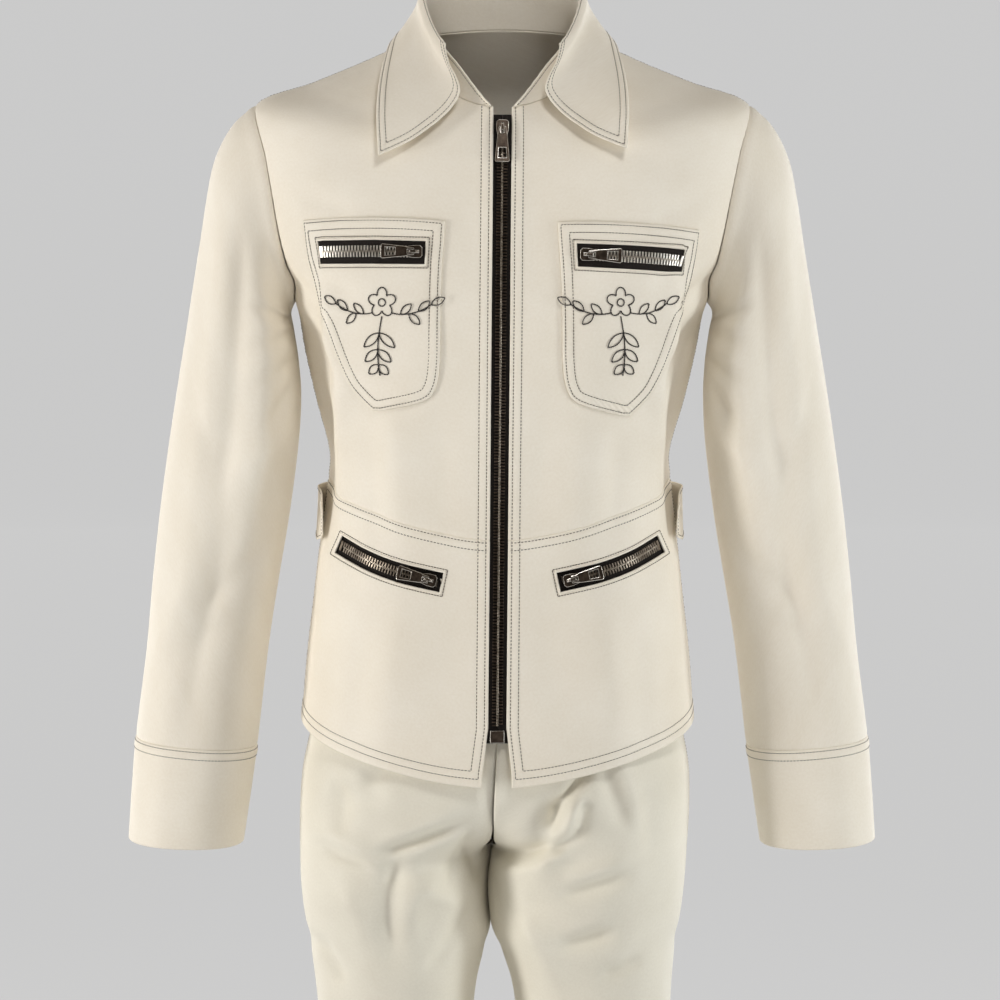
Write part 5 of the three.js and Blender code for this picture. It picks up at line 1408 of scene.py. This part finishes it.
for side in (RIGHT, LEFT):
    name = NAMES[side]
    first, last = WINDOW_SHARES
    top_row, bottom_row = WINDOW_ROWS
    rows = np.concatenate([np.linspace(0, top_row, 13), np.linspace(top_row, bottom_row, 14)[1:],
                           np.linspace(bottom_row, POCKET_TIP_ROW, 88)[1:]])
    shares = np.concatenate([np.linspace(0, first, 10), np.linspace(first, last, 60)[1:],
                             np.linspace(last, 1, 9)[1:]])
    share_grid, row_grid = np.meshgrid(shares, rows)
    x, z = pocket_xz(row_grid, share_grid, side)
    edge_t, nought = np.linspace(0, 1, 40), np.zeros(40)
    around = [pocket_xz(POCKET_TIP_ROW * rows_t, shares_t, side) for rows_t, shares_t in
              ((nought, edge_t), (edge_t, nought + 1), (nought + 1, 1 - edge_t), (1 - edge_t, nought))]
    outline = np.concatenate([np.stack([flat_x(a), b], 1)[:-1] for a, b in around])
    if np.sum(np.cross(outline, np.roll(outline, -1, 0))) < 0:
        outline = outline[::-1]
    closed = np.concatenate([outline, outline[:1]])
    run = run_length(closed, 0)
    at = np.linspace(0, run[-1], 420, endpoint=False)
    outline = read_line(at, run, closed)
    distance = segment_distance(np.stack([flat_x(x), z], -1), outline)
    angle, level = on_front(x, z)
    window = [(top_row, s) for s in (first, 0.5, last)] + [(bottom_row, s) for s in (last, 0.5, first)]
    corners = [pocket_xz(np.float64(r), np.float64(s), side) for r, s in window]
    corners = [(float(flat_x(a)), float(b)) for a, b in corners]
    puckers = sewn_edge(distance, 2.2 * x + 1.7 * z, POCKET_LINES, 0.35, 0.2, seed=side)
    out = POCKET_OUT - 0.75 * bell(distance, 0, 1.8) + puckers - 0.35 + 0.35 * slack(x * 1.4, z * 1.6, 1.0)
    in_rows = (row_grid[:-1, :-1] > top_row - 0.01) & (row_grid[1:, 1:] < bottom_row + 0.01)
    in_shares = (share_grid[:-1, :-1] > first - 1e-4) & (share_grid[1:, 1:] < last + 1e-4)
    grid = Cloth.on_chest(torso_out(angle, level, out), flat_x(x), z, ~(in_rows & in_shares), POCKET_SIZE)

    def pocket_place(loop, height):
        return front_point(unflat_x(loop[:, 0]), loop[:, 1], np.full(len(loop), POCKET_OUT - 0.3 + height))

    bead = lip(ring_path(corners), pocket_place, LIP_WIDTH, 0.6, 0.8)
    build_cloth(f"chest_pocket_{name}", grid, thickness=POCKET_CLOTH, held="laid",
                rests=[f"front_upper_{name}_cloth"], extra=bead)
    for d in POCKET_LINES:
        row_line = inner_row(outline, d)
        row_line = np.concatenate([row_line, row_line[:1]])
        sew_on_front("pockets", row_line, POCKET_OUT - (0.35 if d > 5 else 0.5), 2.8)
    for line in sides_of(corners, FRAME_ROW):
        sew_on_front("pockets", line, POCKET_OUT, FRAME_PITCH)
    centre = np.array([float(flat_x(pocket_xz(np.float64(4.0), np.float64(0.5), side)[0])), SPRIG_Z])
    for line in spray(side):
        sew_on_front("sprigs", line + centre, POCKET_OUT + 0.15, 1.9)

# ---------------------------------------------------------------- zips


TOOTH_PITCH = 2.75
TOOTH_LONG = TOOTH_PITCH * 0.56
TOOTH_NEAR, TOOTH_CUT = -0.35, 0.28
TAPE_THICKNESS = 0.7


def tooth_form(long, near, far, high):
    """One zip tooth: a small block with its upper edges cut off, reaching from near the middle line out
    to one side."""
    points = []
    for height, inset in ((0.0, 0.0), (high - TOOTH_CUT, 0.0), (high, TOOTH_CUT)):
        for a, b in ((-1, 0), (1, 0), (1, 1), (-1, 1)):
            wide = near + inset if b == 0 else far - inset
            points.append((a * (long / 2 - inset * 0.8), wide, height))
    quads = [(0, 3, 2, 1), (8, 9, 10, 11)]
    for level in (0, 4):
        quads += [(level + k, level + (k + 1) % 4, level + 4 + (k + 1) % 4, level + 4 + k) for k in range(4)]
    return points, quads


def zip_teeth(name, points, normals, far, high, material, node, stop=True):
    """Two staggered rows of teeth along a line of points, a stop block at its end and a ridge of beads
    down the middle in a brighter metal, a painted highlight along the teeth's meeting heads."""
    run = run_length(points, 0)
    count = int(run[-1] / TOOTH_PITCH)
    parts, faces, total = [], [], 0
    template, quads = tooth_form(TOOTH_LONG, TOOTH_NEAR, far, high)
    reversed_quads = [q[::-1] for q in quads]
    rows = []
    for hand, shift in ((1, 0.0), (-1, 0.5)):
        at = (np.arange(count) + 0.25 + shift) * TOOTH_PITCH
        rows.append((np.array(template) * [1, hand, 1], reversed_quads if hand > 0 else quads,
                     places(at, run, points, normals, 1, 1)))
    if stop:
        block, _ = tooth_form(2.8, -far, far, high + 0.4)
        way = direction(points[-1:] - points[-3:-2])
        rows.append((block, reversed_quads, (points[-1:] + normals[-1:] * 0.1, way, normals[-1:])))
    for form, form_faces, frames in rows:
        made, made_faces = repeated(form, [form_faces], [frames])
        parts.append(made)
        faces.append(made_faces[0] + total)
        total += len(made)
    teeth = make_object(name, np.concatenate(parts), [np.concatenate(faces)], smooth=False)
    dress(teeth, material, node)
    beads = (np.arange(2 * count) + 0.5) * TOOTH_PITCH / 2
    # The beads are a painted highlight: brighter metal down the middle, where the teeth meet.
    template, _ = tooth_form(0.95, -0.75, 0.75, high + 0.3)
    made, made_faces = repeated(template, [reversed_quads], [places(beads, run, points, normals, 0, 0.8)])
    dress(make_object(name + "_ridge", made, made_faces, smooth=False), METAL_PAINTED_HIGHLIGHT)


def tape_strip(node, surface_xz, out, spans, width, length):
    """A woven tape under a zip: a thin strip that follows the cloth at a set depth."""
    p, q = np.meshgrid(np.linspace(0, 1, spans[0]), np.linspace(0, 1, spans[1]))
    x, z = surface_xz(p, q)
    keep = np.ones((spans[1] - 1, spans[0] - 1), bool)
    points = front_point(x, z, np.full(x.shape, out))
    grid = Cloth.on_chest(points, p * width, q * length, keep, (width, length))
    v, f, uv = shell_arrays(grid, TAPE_THICKNESS)
    obj = dress(make_object(node + "_weave", v, [f], uv), TAPE, node)
    declare_sheet(obj, width * MM, length * MM, grid.area(), 4, held="laid")


FRONT_TAPE_OUT, CHEST_TAPE_OUT, HIP_TAPE_OUT = -2.5, 1.9, -2.8
for side in (RIGHT, LEFT):
    name = NAMES[side]

    def front_tape(p, q):
        z = ZIP_BOTTOM_Z + (ZIP_TOP_Z - ZIP_BOTTOM_Z) * q
        return side * (0.3 + 14.7 * p) + lean(z), z

    def hip_tape(p, q):
        return hip_xz(-4 + (HIP_LENGTH + 8) * p, 13 - 26 * q, side)

    def chest_tape(p, q):
        first, last = WINDOW_SHARES
        return pocket_xz(1.02 + 0.96 * q, first + 0.002 + (last - first - 0.004) * p, side)

    tape_strip(f"front_zip_tape_{name}", front_tape, FRONT_TAPE_OUT, (5, 110), 15.0, 548.0)
    tape_strip(f"hip_zip_tape_{name}", hip_tape, HIP_TAPE_OUT - 0.1, (40, 8), HIP_LENGTH + 9, 26.2)
    tape_strip(f"chest_zip_tape_{name}", chest_tape, CHEST_TAPE_OUT, (40, 6), 103.0, 20.0)

z = np.linspace(ZIP_TOP_Z - 20, ZIP_BOTTOM_Z + 12, 260)
zip_teeth("front_zip_teeth", *front_line(lean(z), z, FRONT_TAPE_OUT + 0.2), 4.6, 1.9, METAL,
          "front_zip_chain", stop=False)
for side in (RIGHT, LEFT):
    name = NAMES[side]
    share = np.linspace(0.155, 0.885, 120)
    line = front_line(*pocket_xz(1.5 + 0 * share, share, side), CHEST_TAPE_OUT)
    zip_teeth(f"chest_zip_teeth_{name}", *line, 4.9, 1.3, METAL_SILVER, f"chest_zip_chain_{name}")
    line = front_line(*hip_xz(np.linspace(4, HIP_LENGTH - 3, 120), np.zeros(120), side), HIP_TAPE_OUT)
    zip_teeth(f"hip_zip_teeth_{name}", *line, 4.5, 1.8, METAL_WORN, f"hip_zip_chain_{name}")


def recoat(node, material, bevel):
    """Gives a metal node of the frame its finish and rounded edges in a brighter silver metal, which
    stands for rubbed wear and is partly a painted highlight along the edges.
    """
    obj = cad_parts[node]
    obj.data.materials.clear()
    obj.data.materials.append(material)
    obj.data.materials.append(METAL_SILVER)
    weld = obj.modifiers.new("weld", "WELD")
    weld.merge_threshold = 0.00002
    round_off = obj.modifiers.new("round", "BEVEL")
    round_off.width = bevel * MM
    round_off.segments = 2
    round_off.limit_method = "ANGLE"
    round_off.angle_limit = math.radians(35)
    # The bevelled edges take the silver: rubbed wear, and partly a painted highlight along them.
    round_off.material = 1


for zip_name in ("front_zip", "chest_zip_left", "chest_zip_right", "hip_zip_left", "hip_zip_right"):
    recoat(zip_name + "_slider", METAL, 0.3)
    recoat(zip_name + "_pull", METAL, 0.42)
recoat("front_zip_box", METAL, 0.3)

# ---------------------------------------------------------------- waist tabs and their buttons
TAB_ROWS = (2.88, 2.62, 2.36)
TAB_ANGLES = (1.34, 2.6)
TAB_FLAT_ANGLE = 2.25
TAB_PROUD = {LEFT: (9, 4), RIGHT: (7, 2)}
TAB_SPRING = 0.8
TAB_CLOTH = 1.2
BUTTON_ANGLE = 2.38


def tab_surface(side):
    """A tab laid on the side of the waist: its sewn end lies flat on the back and its free end stands
    off at the side."""
    def surface(p, q):
        angle = TAB_ANGLES[0] + (TAB_ANGLES[1] - TAB_ANGLES[0]) * p
        taper = np.minimum(1, 0.72 + (angle - TAB_ANGLES[0]) * 3)
        row = TAB_ROWS[1] + (TAB_ROWS[2] + (TAB_ROWS[0] - TAB_ROWS[2]) * q - TAB_ROWS[1]) * taper
        top, bottom = TAB_PROUD[side]
        free = np.maximum(0, (TAB_FLAT_ANGLE - angle) / (TAB_FLAT_ANGLE - SIDE)) ** 1.3
        proud = POCKET_OUT + (bottom + (top - bottom) * q) * free * TAB_SPRING
        return torso_out(side * angle, row, proud)
    return surface


TAB_LINES = (2.2,)
for side in (RIGHT, LEFT):
    name = NAMES[side]
    tab = Cloth(tab_surface(side), stations(170, 3.5, TAB_LINES, TAB_LINES),
                stations(38, 3.0, TAB_LINES, TAB_LINES))
    tab.face_away_from(np.array([0.0, 0.0, -415.0]))
    finish_panel(tab, left=TAB_LINES, right=TAB_LINES, bottom=TAB_LINES, top=TAB_LINES)
    build_cloth(f"waist_tab_{name}", tab, thickness=TAB_CLOTH, held="laid", rests=["back_lower_cloth"])
    for edge in ("left", "right", "top", "bottom"):
        sew_line("back", tab, edge, 2.2, low=2.2, high=2.2)


def button_form(radius, thick):
    """A turned button: a rounded rim, a shallow dish and a raised middle, as rings from the back to the
    middle of the face."""
    rings = [(0.0, 0.0), (0.86, 0.0), (0.97, 0.2), (1.0, 0.5), (0.96, 0.85), (0.88, 1.0), (0.78, 0.93),
             (0.7, 0.72), (0.5, 0.62), (0.3, 0.66), (0.0, 0.68)]
    return [(r * radius, h * thick) for r, h in rings]


def turned(profile, centre, axis):
    """A form turned round an axis, from a list of radius and height."""
    sides = 32
    axis = direction(np.asarray(axis, float))
    u = direction(np.cross(axis, [0.3, 0.9, 0.2]))
    v = np.cross(axis, u)
    turn = np.linspace(0, 2 * math.pi, sides, endpoint=False)
    around = np.cos(turn)[:, None] * u + np.sin(turn)[:, None] * v
    points = [centre + axis * profile[0][1]]
    for radius, height in profile[1:-1]:
        points += list(centre + axis * height + radius * around)
    points.append(centre + axis * profile[-1][1])
    k = np.arange(sides)
    after = (k + 1) % sides
    starts = [1 + r * sides for r in range(len(profile) - 2)]
    quads = [np.stack([a + k, a + after, b + after, b + k], 1) for a, b in zip(starts, starts[1:])]
    back = np.stack([0 * k, 1 + after, 1 + k], 1)
    face = np.stack([0 * k + len(points) - 1, starts[-1] + k, starts[-1] + after], 1)
    return np.array(points), [np.concatenate(quads), np.concatenate([back, face])]


for side in (RIGHT, LEFT):
    name = NAMES[side]
    spot, level = np.float64(side * BUTTON_ANGLE), np.float64(TAB_ROWS[1])
    out = surface_normal(torso, spot, level)
    seat = torso_out(spot, level, POCKET_OUT + 0.7)
    points, faces = turned(button_form(7.4, 2.6), seat, out)
    horn = make_object(f"waist_tab_button_{name}_horn", points, faces)
    dress(horn, HORN, f"waist_tab_button_{name}")
    u = direction(np.cross(out, [0, 0, 1]))
    v = np.cross(out, u)
    for hand in (-1, 1):
        bar = np.stack([seat + out * 1.95 + u * (hand * 1.1) + v * t for t in np.linspace(-1.6, 1.6, 9)])
        sew("buttons", bar, np.repeat(out[None], 9, 0), 2.4)

# ---------------------------------------------------------------- trousers
HEM_STITCH, SIDE_STITCH = 20.0, 2.4
TOP_SHARE = 0.4  # this share of a leg, from the waist down, has the finer mesh
FLY = {LEFT: (3.4, 9), RIGHT: (-2.2, 7)}  # how far the fly stands out or lies back, and over what width
FLY_Z, FLY_REACH = -634, 34
LEG_STEPS = {"front": (3.6, 3.8), "back": (5.4, 6.5)}


def leg_stations(step):
    """Mesh lines down a leg: the given step at the top, three times that further down."""
    lines = stations(1050, step, (HEM_STITCH,), (3.0,))
    thin = (lines[:, 0] > 0) & (lines[:, 0] < 1 - TOP_SHARE) & (np.arange(len(lines)) % 3 > 0)
    return lines[~thin]


for side in (RIGHT, LEFT):
    name = NAMES[side]
    for face in ("front", "back"):
        wide, high = LEG_STEPS[face]
        cloth = Cloth(trouser_panel(face, side), stations(270, wide, (SIDE_STITCH,), (SIDE_STITCH,)),
                      leg_stations(high), dense=260)
        cloth.face_away_from(np.array([side * 60.0, 0.0, -900.0]))
        z = cloth.points[..., 2]
        inner_dip = 0.9 * (1 - bell(z, FORK_Z, 55))
        relief = seam_dip(cloth.left, 0.8) + seam_dip(cloth.right, 1.0) * inner_dip
        relief = relief + groove(cloth.bottom, HEM_STITCH, 0.5, 1.2)
        if face == "front":
            height, width = FLY[side]
            relief = relief + bell(z, FLY_Z, FLY_REACH, 4) * (height * bell(cloth.right, 0, width))
        cloth.lift(relief)
        build_cloth(f"trouser_{face}_{name}", cloth, "trouser_cloth", TROUSER_CLOTH)
        sew_line("trousers", cloth, "bottom", HEM_STITCH, low=1, high=1)
        if face == "back":
            sew_line("trousers", cloth, "left", SIDE_STITCH, low=2, high=4)


BAND_CLOTH = 1.8
BAND_LINES = (2.2,)
BAND_BOTTOM_Z, BAND_HEIGHT, BAND_GAP = -455.7, 37.7, 0.02


def waistband_surface(p, q):
    """The band of the trousers: a level rounded ring that narrows a little upwards."""
    angle = BAND_GAP + (2 * math.pi - 2 * BAND_GAP) * p
    s, c = np.sin(angle), np.cos(angle)
    zero = np.zeros_like(p)
    n = leg("squareness", zero)
    depth = np.where(c > 0, leg("front_depth", zero), leg("back_depth", zero))
    reach = (1 - 0.024 * q) * (np.abs(s / leg("half_width", zero)) ** n + np.abs(c / depth) ** n) ** (-1 / n)
    z = BAND_BOTTOM_Z + BAND_HEIGHT * q
    return xyz(reach * s + lean(z), -reach * c, z)


band = Cloth(waistband_surface, stations(760, 7.0, BAND_LINES, BAND_LINES),
             stations(38, 4.0, BAND_LINES, BAND_LINES))
band.face_away_from(np.array([0.0, 0.0, -437.0]))
finish_panel(band, left=BAND_LINES, right=BAND_LINES, bottom=BAND_LINES, top=BAND_LINES, seed=2.0)
build_cloth("trouser_waistband", band, "trouser_cloth", BAND_CLOTH)
for edge in ("top", "bottom"):
    sew_line("trousers", band, edge, BAND_LINES[0], low=2, high=2)

# ---------------------------------------------------------------- thread
THREAD_SIZES = {"sprigs": 1.45}
stitch_points, stitch_faces = stitch_form()
for group, frames in threads.items():
    thick = np.full((sum(len(mid) for mid, _, _ in frames), 1), THREAD_SIZES.get(group, 1.0))
    scale = np.concatenate([thick**0, thick, thick], 1)[:, None]
    points, faces = repeated(stitch_points, stitch_faces, frames, scale)
    colour = THREAD_BLACK if group == "sprigs" else THREAD_DARK
    dress(make_object(f"thread_{group}", points, faces), colour)

# ---------------------------------------------------------------- studio
FLOOR_Z, WALL_TOP_Z = -1505.0, 4200
BEND_START, BEND_RADIUS, SWEEP_REACH = 9600, 1400, 60000


def studio_sweep():
    """A pale sheet: a level floor that bends up far behind the suit in a quarter circle."""
    bend = np.linspace(0, math.pi / 2, 40)
    y = np.concatenate([[-SWEEP_REACH], BEND_START + BEND_RADIUS * np.sin(bend), [BEND_START + BEND_RADIUS]])
    z = np.concatenate([[FLOOR_Z], FLOOR_Z + BEND_RADIUS * (1 - np.cos(bend)), [WALL_TOP_Z]])
    x = np.linspace(-SWEEP_REACH, SWEEP_REACH, 5)
    wide = len(x)
    points = xyz(x[None], y[:, None], z[:, None])
    start = (np.arange(len(y) - 1)[:, None] * wide + np.arange(wide - 1)).ravel()
    quads = np.stack([start, start + 1, start + wide + 1, start + wide], 1)
    obj = make_object("studio_sweep", points.reshape(-1, 3), [quads])
    n = Nodes("studio_paper")
    where = n.place(False)
    n.drive("Base Color", n.ramp(n.noise(where, 40, 2.0), [(0.3, linear([71] * 3)), (0.7, linear([72] * 3))]))
    n.set(Emission_Color=linear([204] * 3), Emission_Strength=0.94, Roughness=0.9, Specular_IOR_Level=0.1)
    obj.data.materials.append(n.material)
    obj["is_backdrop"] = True


studio_sweep()


def area_light(name, place, aim, size, power, colour):
    data = bpy.data.lights.new(name, "AREA")
    data.shape = "RECTANGLE"
    data.size, data.size_y = size
    data.energy = power
    data.color = colour
    obj = bpy.data.objects.new(name, data)
    bpy.context.scene.collection.objects.link(obj)
    obj.location = place
    obj.rotation_mode = "QUATERNION"
    obj.rotation_quaternion = (Vector(aim) - Vector(place)).to_track_quat("-Z", "Y")


area_light("side_left", (-2.7, -1.1, -0.5), (0, 0, -0.5), (0.5, 1.6), 46, (1.0, 0.985, 0.96))
area_light("side_right", (2.7, -0.9, -0.6), (0, 0, -0.5), (0.5, 1.6), 30, (0.94, 0.985, 1.0))
area_light("front_left", (-0.5, -3.1, -1.8), (0, 0, -0.55), (0.4, 0.4), 112, (1.0, 0.985, 0.96))
area_light("top", (0.7, -2.2, 2.2), (0, 0, -0.2), (0.8, 0.8), 34, (0.98, 0.99, 1.0))
area_light("back_left", (-2.0, 2.2, -0.3), (0, 0, -0.6), (1.2, 2.4), 24, (1.0, 0.98, 0.95))
area_light("back_right", (2.0, 2.2, -0.3), (0, 0, -0.6), (1.2, 2.4), 24, (0.97, 0.985, 1.0))

world = bpy.data.worlds.new("studio_air")
world.use_nodes = True
world.node_tree.nodes["Background"].inputs[0].default_value = (1.0, 0.86, 0.7, 1.0)
world.node_tree.nodes["Background"].inputs[1].default_value = 0.16
scene = bpy.context.scene
scene.world = world
scene.view_settings.view_transform = "Standard"
scene.view_settings.look = "None"

camera = bpy.data.cameras.new("camera")
camera.sensor_width = 36
camera.lens = 122.0
camera_object = bpy.data.objects.new("camera", camera)
scene.collection.objects.link(camera_object)
camera_object.location = (0, -3.0, -0.08)
camera_object.rotation_mode = "QUATERNION"
camera_object.rotation_quaternion = (Vector((0, 0, -0.392)) - camera_object.location).to_track_quat("-Z", "Y")
scene.camera = camera_object

low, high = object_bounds()
